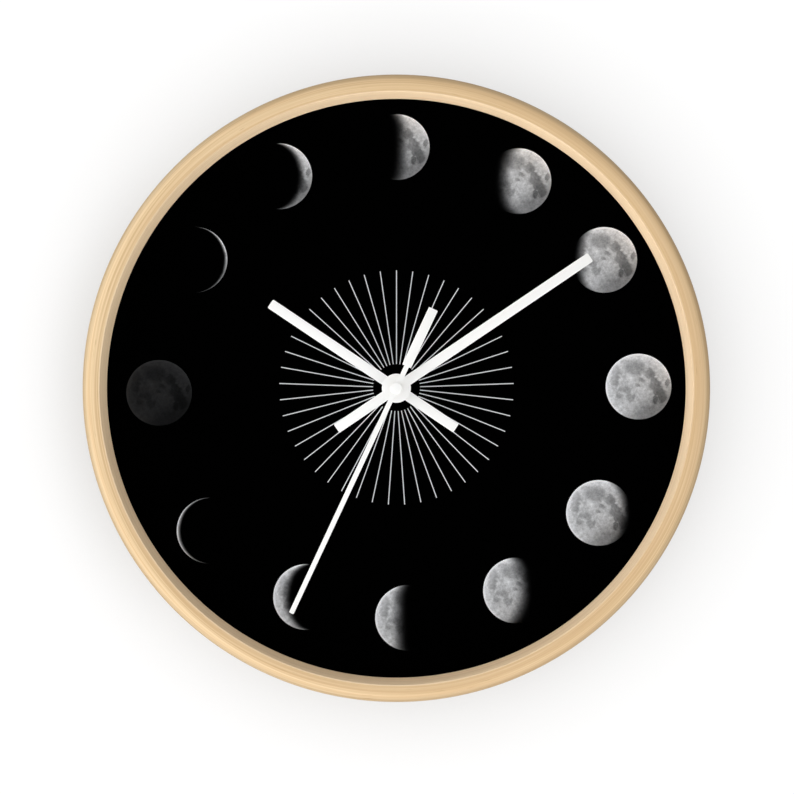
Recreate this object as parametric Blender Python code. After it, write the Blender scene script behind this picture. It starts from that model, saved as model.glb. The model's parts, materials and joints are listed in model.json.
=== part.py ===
"""Moon phase wall clock: a bentwood hoop with a clear face, a printed dial, three white hands
and the battery quartz movement that turns them.

Everything is drawn as the clock is seen from the front: x to the right, y up, and z as the height
above the wall. The empty "clock" stands that drawing upright, so that the front looks along -Y and
the point that hangs on the wall hook is the world's origin. Metres throughout.
"""

import math

import bmesh
import bpy
from mathutils import Matrix, Vector

# Running and resting clearances
SEAT_GAP = 0.0003
FINE_GAP = 0.00015
RUNNING_GAP = 0.00012

# Bentwood hoop
HOOP_OUTER_R = 0.127
HOOP_WALL = 0.0072
HOOP_DEPTH = 0.040
HOOP_FRONT_ROUND = 0.0038
HOOP_FRONT_ARRIS = 0.0003
HOOP_REAR_CHAMFER = 0.001
REBATE = 0.0023
WELL_DEPTH = 0.013

# Face, dial and board
ACRYLIC_THICK = 0.0015
DIAL_SHEET_THICK = 0.0003
BOARD_THICK = 0.003
BUSH_HOLE_GAP = 0.0003

# Board clips and their screws
CLIP_COUNT = 4
CLIP_THICK = 0.0008
CLIP_WIDTH = 0.010
CLIP_FOOT = 0.011
CLIP_LEG = 0.011
CLIP_BEND_R = 0.0012
CLIP_SCREW_DEPTH = 0.0055
SCREW_SHANK_R = 0.0011
SCREW_HEAD_R = 0.0022
SCREW_HEAD_THICK = 0.0013
SCREW_POINT_R = 0.00045
SCREW_BITE = 0.0028

# Gasket, washer, nut and threaded bush
GASKET_R = 0.013
GASKET_THICK = 0.0008
WASHER_R = 0.0056
WASHER_THICK = 0.0005
NUT_ACROSS_FLATS = 0.0098
NUT_THICK = 0.002
BUSH_R = 0.004
BUSH_THREAD_PROUD = 0.0004

# Hanger strap
HANGER_THICK = 0.001
HANGER_WIDTH = 0.020
HANGER_BEND_R = 0.0015
HANGER_BELOW_BUSH = 0.010
HANGER_TAB_HEIGHT = 0.026
HANGER_WALL_GAP = 0.002
HANGER_CORNER_R = 0.004
KEYHOLE_EYE_R = 0.0046
KEYHOLE_SLOT_R = 0.0023
KEYHOLE_SLOT_RISE = 0.0095
KEYHOLE_TO_TAB_TOP = 0.0085
HANG_POINT_ABOVE_SLOT = 0.004

# Movement case
CASE_CORNER_R = 0.003
CASE_INNER_CORNER_R = 0.0004
CASE_WALL = 0.0012
CASE_FRONT_WALL = 0.001
LID_THICK = 0.0012
BEARING_DEPTH = 0.0005
BOSS_HEIGHT = 0.0005
BOSS_WALL = 0.0009
PARTITION = 0.001
LIP_STEP = 0.0004
HOOK_WIDTH = 0.004
HOOK_THICK = 0.0010
HOOK_HEIGHT = 0.0032
HOOK_BARB = 0.0006
HOOK_BARB_HEIGHT = 0.0010
HOOK_LOW_Y = 0.001
HOOK_HIGH_Y = 0.0185
FINGER_NOTCH_R = 0.0055
FINGER_NOTCH_X = -0.010
POST_R = 0.0013
POST_FROM_WALL = 0.0063
POST_FROM_PARTITION = 0.0032
RIGHT_POST_Y = 0.0145
LEFT_POST_Y = 0.0158
MID_PLATE_SIDE_GAP = 0.0038
MID_PLATE_COIL_GAP = 0.0012
TRAIN_ROOM = 0.0014
COIL_ROOM = 0.001
KNOB_RECESS_GAP = 0.0012
KNOB_RECESS_DEPTH = 0.0004

# AA cell and its bay
CELL_R = 0.00725
CELL_LENGTH = 0.0505
CELL_NUB_R = 0.00275
CELL_NUB = 0.001
CELL_RIM = 0.0006
CONTACT_THICK = 0.0003
CONTACT_WIDTH = 0.004
CONTACT_BEND_R = 0.0008
CONTACT_END_GAP = 0.0015
CONTACT_BOARD_LAP = 0.004
SPRING_ROOM = 0.0022
NOTCH_WIDTH = 0.0009

# Gear train: teeth, modules and the layers that the wheels lie in
WHEEL_THICK = 0.0009
LAYER_GAP = 0.0008
MID_PLATE_THICK = 0.001
PINION_OVERLAP = 0.0002
PINION_LEAVES = 8
CANNON_LEAVES = 10
SETTING_LEAVES = 12
INTERMEDIATE_TEETH = 40
SECOND_TEETH = 48
THIRD_TEETH = 60
CENTRE_TEETH = 64
MINUTE_TEETH = 30
HOUR_TEETH = 32
ROTOR_MODULE = 0.00026
SECOND_MODULE = 0.000368
THIRD_MODULE = 0.00030
MOTION_MODULE = 0.00048
ADDENDUM = 0.90
DEDENDUM = 1.10
WHEEL_ROOT_SHARE = 0.31
WHEEL_TIP_SHARE = 0.11
PINION_FLANK_SHARE = 0.17
PINION_TIP_SHARE = 0.08

# Arbors and pipes
SECOND_ARBOR_R = 0.0005
WHEEL_ARBOR_R = 0.0006
MOTION_ARBOR_R = 0.0009
PIVOT_R = 0.00045
STEM_R = 0.0013
MINUTE_BORE_R = 0.0007
MINUTE_PIPE_R = 0.0017
HOUR_PIPE_R = 0.0025
HUB_WALL = 0.0006

# Directions from the centre to each arbor, in degrees from three o'clock
THIRD_DIRECTION = 0.0
INTERMEDIATE_DIRECTION = 150.0
ROTOR_DIRECTION = 150.0
MINUTE_WHEEL_DIRECTION = 60.0
SETTING_DIRECTION = 30.0

# Setting knob
KNOB_R = 0.006
KNOB_HEIGHT = 0.0025
KNOB_FLUTES = 18
KNOB_FLUTE_DEPTH = 0.0005

# Stepping motor and circuit board
MAGNET_R = 0.003
MAGNET_THICK = 0.0024
ROTOR_HOLE_GAP = 0.0004
DETENT_DEPTH = 0.0003
STATOR_THICK = 0.001
STATOR_HALF_WIDTH = 0.005
STATOR_LEG = 0.0035
STATOR_ROOM = 0.0012
COIL_RISE = 0.0142
CORE_WIDTH = 0.0029
BOBBIN_TUBE_R = 0.0020
BOBBIN_FLANGE_R = 0.0033
BOBBIN_FLANGE = 0.0008
COIL_R = 0.0030
CIRCUIT_THICK = 0.0008
CIRCUIT_WIDTH = 0.0154
CIRCUIT_HEIGHT = 0.0113
CIRCUIT_RISE = 0.0039
CIRCUIT_SEAT = 0.0009
CHIP_R = 0.0022
CHIP_THICK = 0.0009
CHIP_ROUND = 0.0006
CHIP_FROM_RIGHT = 0.0044
CHIP_FROM_TOP = 0.0066
CRYSTAL_R = 0.0010
CRYSTAL_LENGTH = 0.006
STATOR_POST_R = 0.0011
STATOR_POST_BELOW_COIL = 0.0055

# Hands: lengths from the centre, widths, sheet thickness and rest angles clockwise from twelve
HAND_THICK = 0.0005
HAND_STEP = 0.0018
HAND_WIDTH = 0.0041
HAND_HUB_R = 0.0059
HAND_TIP_CORNER = 0.0006
HAND_TAIL = 0.0293
HOUR_HAND_LENGTH = 0.0620
MINUTE_HAND_LENGTH = 0.0951
SECOND_HAND_LENGTH = 0.1004
SECOND_HAND_WIDTH = 0.0020
SECOND_HAND_THICK = 0.0004
SECOND_TAIL = 0.0354
SECOND_TAIL_BAR = 0.0256
SECOND_BAR_WIDTH = 0.0039
SECOND_HUB_R = 0.0026
SECOND_CAP_R = 0.00235
SECOND_CAP_HEIGHT = 0.0007
SECOND_CAP_ROUND = 0.00055
HUB_COLLAR_WALL = 0.0009
HUB_COLLAR_HEIGHT = 0.0008
SECOND_TUBE_WALL = 0.0005
HOUR_HAND_ANGLE = 303.9
MINUTE_HAND_ANGLE = 55.93
SECOND_HAND_ANGLE = 205.04

# Facets round a circle
HOOP_STEPS = 80
PART_STEPS = 18
PIVOT_STEPS = 8
ROUND_STEPS = 4

# A profile is drawn flat and extruded along z. These turns stand it up: the first so that it is drawn
# in x and z, the second so that it is drawn in y and z
STAND_IN_XZ = Matrix.Rotation(math.pi / 2, 3, "X")
STAND_IN_YZ = Matrix(((0.0, 0.0, 1.0), (1.0, 0.0, 0.0), (0.0, 1.0, 0.0)))

# Heights above the wall, from the acrylic's front face backwards
acrylic_front = HOOP_DEPTH - WELL_DEPTH
acrylic_back = acrylic_front - ACRYLIC_THICK
sheet_front = acrylic_back - SEAT_GAP
sheet_back = sheet_front - DIAL_SHEET_THICK
board_front = sheet_back - SEAT_GAP
board_back = board_front - BOARD_THICK
gasket_front = board_back - SEAT_GAP
gasket_back = gasket_front - GASKET_THICK
strap_front = gasket_back - SEAT_GAP
strap_back = strap_front - HANGER_THICK
case_front_z = strap_back - SEAT_GAP
chamber_top = case_front_z - CASE_FRONT_WALL

# Heights of the board clips and their screws
clip_back = board_back - SEAT_GAP
clip_screw_z = clip_back - CLIP_SCREW_DEPTH

# Heights of the wheels in their layers, from the case's front wall backwards
hour_wheel_z = chamber_top - LAYER_GAP - WHEEL_THICK
minute_wheel_z = hour_wheel_z - LAYER_GAP - WHEEL_THICK
mid_plate_top = minute_wheel_z - LAYER_GAP
mid_plate_z = mid_plate_top - MID_PLATE_THICK
centre_wheel_z = mid_plate_z - LAYER_GAP - WHEEL_THICK
third_wheel_z = centre_wheel_z - LAYER_GAP - WHEEL_THICK
second_wheel_z = third_wheel_z - LAYER_GAP - WHEEL_THICK
intermediate_wheel_z = second_wheel_z - LAYER_GAP - WHEEL_THICK
lid_inside = intermediate_wheel_z - LAYER_GAP
boss_top = lid_inside + BOSS_HEIGHT
bearing_floor = lid_inside - BEARING_DEPTH
lid_back = lid_inside - LID_THICK
knob_top = lid_back - SEAT_GAP
knob_back = knob_top - KNOB_HEIGHT

# Heights in front of the acrylic, up to the second hand's cap
washer_z = acrylic_front + SEAT_GAP
nut_z = washer_z + WASHER_THICK + SEAT_GAP
bush_top = nut_z + NUT_THICK + BUSH_THREAD_PROUD
hour_collar_z = bush_top + 2 * SEAT_GAP
hour_hand_z = hour_collar_z + HUB_COLLAR_HEIGHT
hour_pipe_top = hour_hand_z + HAND_THICK + FINE_GAP
minute_hand_z = hour_hand_z + HAND_THICK + HAND_STEP
minute_pipe_top = minute_hand_z + HAND_THICK + FINE_GAP
second_hand_z = minute_hand_z + HAND_THICK + HAND_STEP
second_arbor_top = second_hand_z + SECOND_HAND_THICK - FINE_GAP
cap_z = second_hand_z + SECOND_HAND_THICK + FINE_GAP

# Radii that follow from the ones above
hoop_inner_r = HOOP_OUTER_R - HOOP_WALL
rebate_r = hoop_inner_r + REBATE
disc_r = rebate_r - SEAT_GAP
bush_bore_r = HOUR_PIPE_R + RUNNING_GAP
bush_hole_r = BUSH_R + BUSH_HOLE_GAP
hour_bore_r = MINUTE_PIPE_R + RUNNING_GAP
second_bore_r = SECOND_ARBOR_R + FINE_GAP / 2
pivot_hole_r = PIVOT_R + RUNNING_GAP


def module_for(distance, teeth_a, teeth_b):
    """The module at which two gears of these teeth mesh at this distance."""
    return 2 * distance / (teeth_a + teeth_b)


def polar(distance, degrees, start=(0.0, 0.0)):
    angle = math.radians(degrees)
    return (
        start[0] + distance * math.cos(angle),
        start[1] + distance * math.sin(angle),
    )


# Arbor places: each lies at its mesh's centre distance from the arbor before it
third_distance = THIRD_MODULE * (PINION_LEAVES + THIRD_TEETH) / 2
intermediate_distance = SECOND_MODULE * (PINION_LEAVES + SECOND_TEETH) / 2
rotor_distance = ROTOR_MODULE * (PINION_LEAVES + INTERMEDIATE_TEETH) / 2
minute_distance = MOTION_MODULE * (CANNON_LEAVES + MINUTE_TEETH) / 2
setting_distance = MOTION_MODULE * (SETTING_LEAVES + MINUTE_TEETH) / 2
centre_module = module_for(third_distance, PINION_LEAVES, CENTRE_TEETH)
hour_module = module_for(minute_distance, PINION_LEAVES, HOUR_TEETH)
centre_at = (0.0, 0.0)
third_at = polar(third_distance, THIRD_DIRECTION)
intermediate_at = polar(intermediate_distance, INTERMEDIATE_DIRECTION)
rotor_at = polar(rotor_distance, ROTOR_DIRECTION, intermediate_at)
minute_wheel_at = polar(minute_distance, MINUTE_WHEEL_DIRECTION)
setting_at = polar(setting_distance, SETTING_DIRECTION, minute_wheel_at)


# The case: as wide as the cell with its contacts, and as high as the coil, the train and the bay need
centre_tip_r = centre_module * (CENTRE_TEETH / 2 + ADDENDUM)
coil_y = rotor_at[1] + COIL_RISE
chamber_half = (CELL_LENGTH + SPRING_ROOM + 2 * SEAT_GAP + CONTACT_THICK) / 2
chamber_high = coil_y + BOBBIN_FLANGE_R + COIL_ROOM
chamber_low = -centre_tip_r - TRAIN_ROOM
bay_high = chamber_low - PARTITION
bay_low = bay_high - 2 * CELL_R - 2 * SEAT_GAP
case_half = chamber_half + CASE_WALL
case_high = chamber_high + CASE_WALL
case_low = bay_low - CASE_WALL
cell_y = (bay_low + bay_high) / 2
cell_z = chamber_top - SEAT_GAP - CELL_R

# Places of the hanger strap over the case
strap_drop = case_high + SEAT_GAP
tab_top = strap_drop + HANGER_TAB_HEIGHT
keyhole_y = tab_top - KEYHOLE_TO_TAB_TOP - KEYHOLE_SLOT_R - KEYHOLE_SLOT_RISE
slot_top = keyhole_y + KEYHOLE_SLOT_RISE + KEYHOLE_SLOT_R
hang_point_y = slot_top + HANG_POINT_ABOVE_SLOT

# The four corner posts that hold the mid plate between the lid and the front wall
post_x = chamber_half - POST_FROM_WALL
low_post_y = chamber_low + POST_FROM_PARTITION
post_places = (
    (post_x, low_post_y),
    (post_x, RIGHT_POST_Y),
    (-post_x, low_post_y),
    (-post_x, LEFT_POST_Y),
)

# The lid's four snap hooks: height of the hook's head, and where each hook's outer face stands
hook_top = lid_inside + HOOK_HEIGHT
hook_head_z = hook_top - HOOK_BARB_HEIGHT
hook_face = chamber_half - FINE_GAP
hook_places = [(side, y) for side in (1, -1) for y in (HOOK_LOW_Y, HOOK_HIGH_Y)]

# Places of the circuit board, the contacts, the stator and the coil
circuit_left = -chamber_half + 2 * SEAT_GAP + CONTACT_THICK
circuit_low = chamber_low + 2 * SEAT_GAP + CONTACT_THICK
circuit_z = lid_inside + CIRCUIT_RISE
circuit_boss_at = (circuit_left + CIRCUIT_WIDTH - 2 * STATOR_POST_R, low_post_y)
contact_low = cell_z - CONTACT_WIDTH / 2
contact_high = contact_low + CONTACT_WIDTH
stator_z = third_wheel_z
stator_left = -chamber_half + STATOR_ROOM
stator_right = 2 * rotor_at[0] - stator_left
core_z = stator_z + STATOR_THICK + FINE_GAP
coil_z = core_z + STATOR_THICK / 2
stator_post_y = coil_y - STATOR_POST_BELOW_COIL
stator_posts = (
    (stator_left + STATOR_LEG / 2, stator_post_y),
    (stator_right - STATOR_LEG / 2, stator_post_y),
)


def clear_scene():
    for obj in list(bpy.data.objects):
        bpy.data.objects.remove(obj, do_unlink=True)


def material(name, colour, roughness, metallic=0.0, alpha=1.0):
    found = bpy.data.materials.get(name)
    if found:
        return found
    made = bpy.data.materials.new(name)
    made.use_nodes = True
    shader = made.node_tree.nodes["Principled BSDF"]
    shader.inputs["Base Color"].default_value = (*colour, 1.0)
    shader.inputs["Roughness"].default_value = roughness
    shader.inputs["Metallic"].default_value = metallic
    shader.inputs["Alpha"].default_value = alpha
    return made


def empty(name, place=(0.0, 0.0, 0.0), parent=None, turn=0.0):
    made = bpy.data.objects.new(name, None)
    made.location = place
    made.rotation_euler = (0.0, 0.0, turn)
    made.parent = parent
    bpy.context.collection.objects.link(made)
    return made


def add_object(name, bm, finish, parent, place=(0.0, 0.0, 0.0), turn=0.0, smooth_angle=None):
    """Closes a bmesh into an object, with its normals outward, standing on its parent."""
    bmesh.ops.recalc_face_normals(bm, faces=bm.faces)
    mesh = bpy.data.meshes.new(name)
    bm.to_mesh(mesh)
    bm.free()
    if smooth_angle is not None:
        mesh.shade_smooth()
        mesh.set_sharp_from_angle(angle=math.radians(smooth_angle))
    mesh.materials.append(finish)
    made = bpy.data.objects.new(name, mesh)
    made.location = place
    made.rotation_euler = (0.0, 0.0, turn)
    made.parent = parent
    bpy.context.collection.objects.link(made)
    return made


def circle(radius, steps=PART_STEPS, at=(0.0, 0.0)):
    """Points round a circle, anticlockwise."""
    return [polar(radius, 360.0 * step / steps, at) for step in range(steps)]


def rectangle(x0, y0, x1, y1):
    return [(x0, y0), (x1, y0), (x1, y1), (x0, y1)]


def rounded_box(x0, y0, x1, y1, radius, steps=4):
    """A rectangle's outline with quarter-round corners."""
    points = []
    corners = (
        (x1 - radius, y1 - radius, 0.0),
        (x0 + radius, y1 - radius, 90.0),
        (x0 + radius, y0 + radius, 180.0),
        (x1 - radius, y0 + radius, 270.0),
    )
    for cx, cy, start in corners:
        points += [polar(radius, start + 90.0 * step / steps, (cx, cy)) for step in range(steps + 1)]
    return points


def layered(stack):
    """A solid built up in layers along z. The stack is a list of (bottom, loops) pairs and ends with
    (top, []). A loop is a list of (x, y) points; where the same loop is in two layers that touch, its
    wall runs on unbroken, and every other loop gets a flat step. Loops of one layer count as outline,
    hole, island and so on, by how they lie inside each other."""
    bm = bmesh.new()
    rings = {}

    def ring(loop, level):
        key = (id(loop), level)
        if key not in rings:
            z = stack[level][0]
            rings[key] = [bm.verts.new((x, y, z)) for x, y in loop]
        return rings[key]

    for level in range(len(stack) - 1):
        for loop in stack[level][1]:
            low = ring(loop, level)
            high = ring(loop, level + 1)
            for i in range(len(loop)):
                j = (i + 1) % len(loop)
                bm.faces.new((low[i], low[j], high[j], high[i]))
    for level in range(len(stack)):
        below = stack[level - 1][1] if level else []
        above = stack[level][1]
        kept = {id(loop) for loop in below} & {id(loop) for loop in above}
        edges = []
        for loop in below + above:
            if id(loop) in kept:
                continue
            verts = ring(loop, level)
            for i in range(len(verts)):
                edges.append(bm.edges.get((verts[i], verts[(i + 1) % len(verts)])))
        if edges:
            bmesh.ops.triangle_fill(bm, use_beauty=True, use_dissolve=False, edges=edges)
    return bm


def plate(z0, z1, *loops):
    """One flat layer of these loops."""
    return layered([(z0, list(loops)), (z1, [])])


def turned(outline, steps):
    """A closed outline of (radius, z) points turned about the z axis."""
    bm = bmesh.new()
    verts = [bm.verts.new((r, 0.0, z)) for r, z in outline]
    edges = [bm.edges.new((verts[i], verts[(i + 1) % len(verts)])) for i in range(len(verts))]
    bmesh.ops.spin(
        bm,
        geom=verts + edges,
        axis=(0.0, 0.0, 1.0),
        cent=(0.0, 0.0, 0.0),
        angle=2 * math.pi,
        steps=steps,
        use_merge=True,
    )
    bmesh.ops.remove_doubles(bm, verts=bm.verts, dist=1e-6)
    return bm


def bevel_rim(bm, z, width, segments):
    """Rounds the edges that lie at this height."""
    rim = [edge for edge in bm.edges if len(edge.link_faces) == 2 and is_rim(edge, z)]
    bmesh.ops.bevel(bm, geom=rim, offset=width, segments=segments, profile=0.5, affect="EDGES")


def is_rim(edge, z):
    level = all(abs(vert.co.z - z) < 1e-7 for vert in edge.verts)
    tilted = abs(edge.link_faces[0].normal.dot(edge.link_faces[1].normal)) < 0.5
    return level and tilted


def thick_line(points, thickness):
    """The outline of a strip of sheet that follows these points, seen edge on, with mitred bends."""
    path = [Vector(point) for point in points]
    sides = ([], [])
    for i, point in enumerate(path):
        before = (point - path[i - 1]).normalized() if i else None
        after = (path[i + 1] - point).normalized() if i < len(path) - 1 else None
        along = (before or after) + (after or before)
        along.normalize()
        across = Vector((-along.y, along.x))
        lean = across.dot(Vector((-(after or before).y, (after or before).x)))
        offset = across * (thickness / 2 / lean)
        sides[0].append(tuple(point + offset))
        sides[1].append(tuple(point - offset))
    return sides[0] + sides[1][::-1]


def bend(corner, start, end, radius, steps=4):
    """Points round a bend at a corner, from the direction of start to the direction of end."""
    corner = Vector(corner)
    into = (Vector(start) - corner).normalized()
    out = (Vector(end) - corner).normalized()
    half = into.angle(out) / 2
    first = corner + into * radius / math.tan(half)
    centre = corner + (into + out).normalized() * radius / math.sin(half)
    last = corner + out * radius / math.tan(half)
    a0 = math.atan2(first.y - centre.y, first.x - centre.x)
    a1 = math.atan2(last.y - centre.y, last.x - centre.x)
    sweep = (a1 - a0 + math.pi) % (2 * math.pi) - math.pi
    return [
        (
            centre.x + radius * math.cos(a0 + sweep * step / steps),
            centre.y + radius * math.sin(a0 + sweep * step / steps),
        )
        for step in range(steps + 1)
    ]


def wheel_outline(teeth, module, phase):
    """A wheel's teeth: straight sides that narrow from root to tip."""
    pitch = 2 * math.pi / teeth
    root_r = module * (teeth / 2 - DEDENDUM)
    tip_r = module * (teeth / 2 + ADDENDUM)
    points = []
    for tooth in range(teeth):
        middle = phase + tooth * pitch
        for radius, share in (
            (root_r, -WHEEL_ROOT_SHARE),
            (tip_r, -WHEEL_TIP_SHARE),
            (tip_r, WHEEL_TIP_SHARE),
            (root_r, WHEEL_ROOT_SHARE),
        ):
            angle = middle + share * pitch
            points.append((radius * math.cos(angle), radius * math.sin(angle)))
    return points


def pinion_outline(leaves, module, phase):
    """A pinion's leaves: radial sides below the pitch circle and a narrowed tip above it."""
    pitch = 2 * math.pi / leaves
    pitch_r = module * leaves / 2
    root_r = pitch_r - module * DEDENDUM
    tip_r = pitch_r + module * ADDENDUM
    points = []
    for leaf in range(leaves):
        middle = phase + leaf * pitch
        for radius, share in (
            (root_r, -PINION_FLANK_SHARE),
            (pitch_r, -PINION_FLANK_SHARE),
            (tip_r, -PINION_TIP_SHARE),
            (tip_r, PINION_TIP_SHARE),
            (pitch_r, PINION_FLANK_SHARE),
            (root_r, PINION_FLANK_SHARE),
        ):
            angle = middle + share * pitch
            points.append((radius * math.cos(angle), radius * math.sin(angle)))
    return points


def mesh_phase(driver_at, driver_teeth, driver_phase, at, teeth):
    """The phase that sets a gear's gap over the driver's tooth on the line between them."""
    toward = math.atan2(at[1] - driver_at[1], at[0] - driver_at[0])
    lead = (driver_phase - toward) * driver_teeth
    return toward + math.pi + (math.pi - lead) / teeth


# Phases of the meshing gears: a pinion starts at zero, and what it meets is turned to mesh
third_phase = mesh_phase(centre_at, PINION_LEAVES, 0.0, third_at, THIRD_TEETH)
centre_phase = mesh_phase(third_at, PINION_LEAVES, 0.0, centre_at, CENTRE_TEETH)
minute_phase = mesh_phase(centre_at, CANNON_LEAVES, 0.0, minute_wheel_at, MINUTE_TEETH)
setting_phase = mesh_phase(minute_wheel_at, MINUTE_TEETH, minute_phase, setting_at, SETTING_LEAVES)
hour_phase = mesh_phase(minute_wheel_at, PINION_LEAVES, 0.0, centre_at, HOUR_TEETH)
second_phase = mesh_phase(intermediate_at, PINION_LEAVES, 0.0, centre_at, SECOND_TEETH)
intermediate_phase = mesh_phase(rotor_at, PINION_LEAVES, 0.0, intermediate_at, INTERMEDIATE_TEETH)


def hand_outline(tip, tail, width, hub_r, corner):
    """A straight bar pointing to twelve, its tip's corners rounded, swelling to a round hub."""
    half = width / 2
    meet = math.degrees(math.acos(half / hub_r))
    points = [polar(corner, 90.0 * step / 3, (half - corner, tip - corner)) for step in range(4)]
    points += [polar(corner, 90.0 + 90.0 * step / 3, (corner - half, tip - corner)) for step in range(4)]
    left = [polar(hub_r, 180.0 - meet + 2 * meet * step / 10) for step in range(11)]
    right = [polar(hub_r, -meet + 2 * meet * step / 10) for step in range(11)]
    return points + left + [(-half, -tail), (half, -tail)] + right


def second_hand_outline():
    """A slim round-tipped pointer with a hub and a wider bar as its counterweight."""
    half = SECOND_HAND_WIDTH / 2
    bar = SECOND_BAR_WIDTH / 2
    meet = math.degrees(math.acos(half / SECOND_HUB_R))
    tip = [polar(half, 180.0 * step / 6, (0.0, SECOND_HAND_LENGTH - half)) for step in range(7)]
    left = [polar(SECOND_HUB_R, 180.0 - meet + 2 * meet * step / 8) for step in range(9)]
    right = [polar(SECOND_HUB_R, -meet + 2 * meet * step / 8) for step in range(9)]
    bar_start = SECOND_TAIL - SECOND_TAIL_BAR
    weight = [
        (-half, -bar_start),
        (-bar, -bar_start),
        (-bar, -SECOND_TAIL),
        (bar, -SECOND_TAIL),
        (bar, -bar_start),
        (half, -bar_start),
    ]
    return tip + left + weight + right


def cutter(name, bm, parent, place=(0.0, 0.0, 0.0), rotation=(0.0, 0.0, 0.0)):
    """A shape that only cuts: it is left out of the render and drawn as wire."""
    made = add_object(name, bm, material("cutter", (1.0, 0.2, 0.2), 0.5), parent, place)
    made.rotation_euler = rotation
    made.hide_render = True
    made.display_type = "WIRE"
    return made


def cut(target, tool):
    modifier = target.modifiers.new("cut_" + tool.name, "BOOLEAN")
    modifier.operation = "DIFFERENCE"
    modifier.solver = "EXACT"
    modifier.object = tool


def build_hoop(clock, finishes):
    """The bentwood ring: rounded outer front edge, sharp inner arris and a rebate behind the face."""
    shoulder = acrylic_front + SEAT_GAP
    round_centre = (HOOP_OUTER_R - HOOP_FRONT_ROUND, HOOP_DEPTH - HOOP_FRONT_ROUND)
    front_round = [
        polar(HOOP_FRONT_ROUND, 90.0 * step / ROUND_STEPS, round_centre) for step in range(ROUND_STEPS + 1)
    ]
    outline = [
        (HOOP_OUTER_R - HOOP_REAR_CHAMFER, 0.0),
        (HOOP_OUTER_R, HOOP_REAR_CHAMFER),
        *front_round,
        (hoop_inner_r + HOOP_FRONT_ARRIS, HOOP_DEPTH),
        (hoop_inner_r, HOOP_DEPTH - HOOP_FRONT_ARRIS),
        (hoop_inner_r, shoulder),
        (rebate_r, shoulder),
        (rebate_r, 0.0),
    ]
    hoop = add_object("hoop_frame", turned(outline, HOOP_STEPS), finishes["wood"], clock, smooth_angle=35)
    depth = SCREW_BITE + FINE_GAP
    for number in range(CLIP_COUNT):
        angle = clip_angle(number)
        hole = plate(-SEAT_GAP, depth, circle(SCREW_SHANK_R + FINE_GAP, PIVOT_STEPS))
        x, y = polar(rebate_r, math.degrees(angle))
        tool = cutter(
            f"pilot_cutter_{number + 1}",
            hole,
            clock,
            (x, y, clip_screw_z),
            (0.0, math.pi / 2, angle),
        )
        cut(hoop, tool)


def build_face(clock, finishes):
    """Clear acrylic, the printed sheet behind it and the board that both lie on."""
    bush_hole = circle(bush_hole_r)
    acrylic = plate(acrylic_back, acrylic_front, circle(disc_r, HOOP_STEPS), bush_hole)
    add_object("acrylic_face", acrylic, finishes["acrylic"], clock, smooth_angle=35)
    sheet = plate(sheet_back, sheet_front, circle(disc_r, HOOP_STEPS), bush_hole)
    add_object("dial_sheet", sheet, finishes["dial"], clock, smooth_angle=35)
    board = plate(board_back, board_front, circle(disc_r, HOOP_STEPS), bush_hole)
    add_object("dial_board", board, finishes["board"], clock, smooth_angle=35)


def clip_angle(number):
    return 2 * math.pi * number / CLIP_COUNT


def build_clips(clock, finishes):
    """Bent steel clips that hold the board against the shoulder, each with a stub wood screw."""
    leg_r = disc_r - CLIP_THICK / 2
    foot_z = clip_back - CLIP_THICK / 2
    corner = (leg_r, foot_z)
    foot_end = (leg_r - CLIP_FOOT, foot_z)
    leg_end = (leg_r, foot_z - CLIP_LEG)
    path = [foot_end, *bend(corner, foot_end, leg_end, CLIP_BEND_R), leg_end]
    side = thick_line(path, CLIP_THICK)
    screw_face = disc_r - CLIP_THICK - FINE_GAP
    screw_tip = rebate_r + SCREW_BITE
    for number in range(CLIP_COUNT):
        angle = clip_angle(number)
        carrier = empty(f"clip_place_{number + 1}", parent=clock, turn=angle)
        strip = plate(-CLIP_WIDTH / 2, CLIP_WIDTH / 2, side)
        bmesh.ops.rotate(strip, verts=strip.verts, matrix=STAND_IN_XZ)
        clip = add_object(f"board_clip_{number + 1}", strip, finishes["steel"], carrier, smooth_angle=35)
        hole = plate(-CLIP_THICK, CLIP_THICK * 2, circle(SCREW_SHANK_R + FINE_GAP, PIVOT_STEPS))
        tool = cutter(
            f"clip_cutter_{number + 1}",
            hole,
            carrier,
            (screw_face, 0.0, clip_screw_z),
            (0.0, math.pi / 2, 0.0),
        )
        cut(clip, tool)
        head = circle(SCREW_HEAD_R, 12)
        shank = circle(SCREW_SHANK_R, PIVOT_STEPS)
        point = circle(SCREW_POINT_R, PIVOT_STEPS)
        length = screw_tip - screw_face
        stack = [
            (-SCREW_HEAD_THICK, [head]),
            (0.0, [shank]),
            (length - SCREW_SHANK_R, [point]),
            (length, []),
        ]
        screw = add_object(
            f"clip_screw_{number + 1}",
            layered(stack),
            finishes["steel"],
            carrier,
            smooth_angle=35,
        )
        screw.location = (screw_face, 0.0, clip_screw_z)
        screw.rotation_euler = (0.0, math.pi / 2, 0.0)


def build_bush_stack(clock, finishes):
    """What is threaded on the movement's bush: rubber gasket behind the board, washer and nut in front."""
    hole = circle(bush_hole_r)
    gasket = plate(gasket_back, gasket_front, circle(GASKET_R, 32), hole)
    add_object("rubber_gasket", gasket, finishes["rubber"], clock, smooth_angle=35)
    washer = plate(washer_z, washer_z + WASHER_THICK, circle(WASHER_R), circle(BUSH_R + FINE_GAP))
    add_object("brass_washer", washer, finishes["brass"], clock, smooth_angle=35)
    flats = circle(NUT_ACROSS_FLATS / 2 / math.cos(math.pi / 6), 6)
    nut = plate(nut_z, nut_z + NUT_THICK, flats, circle(BUSH_R + FINE_GAP))
    add_object("hex_nut", nut, finishes["brass"], clock)


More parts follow.
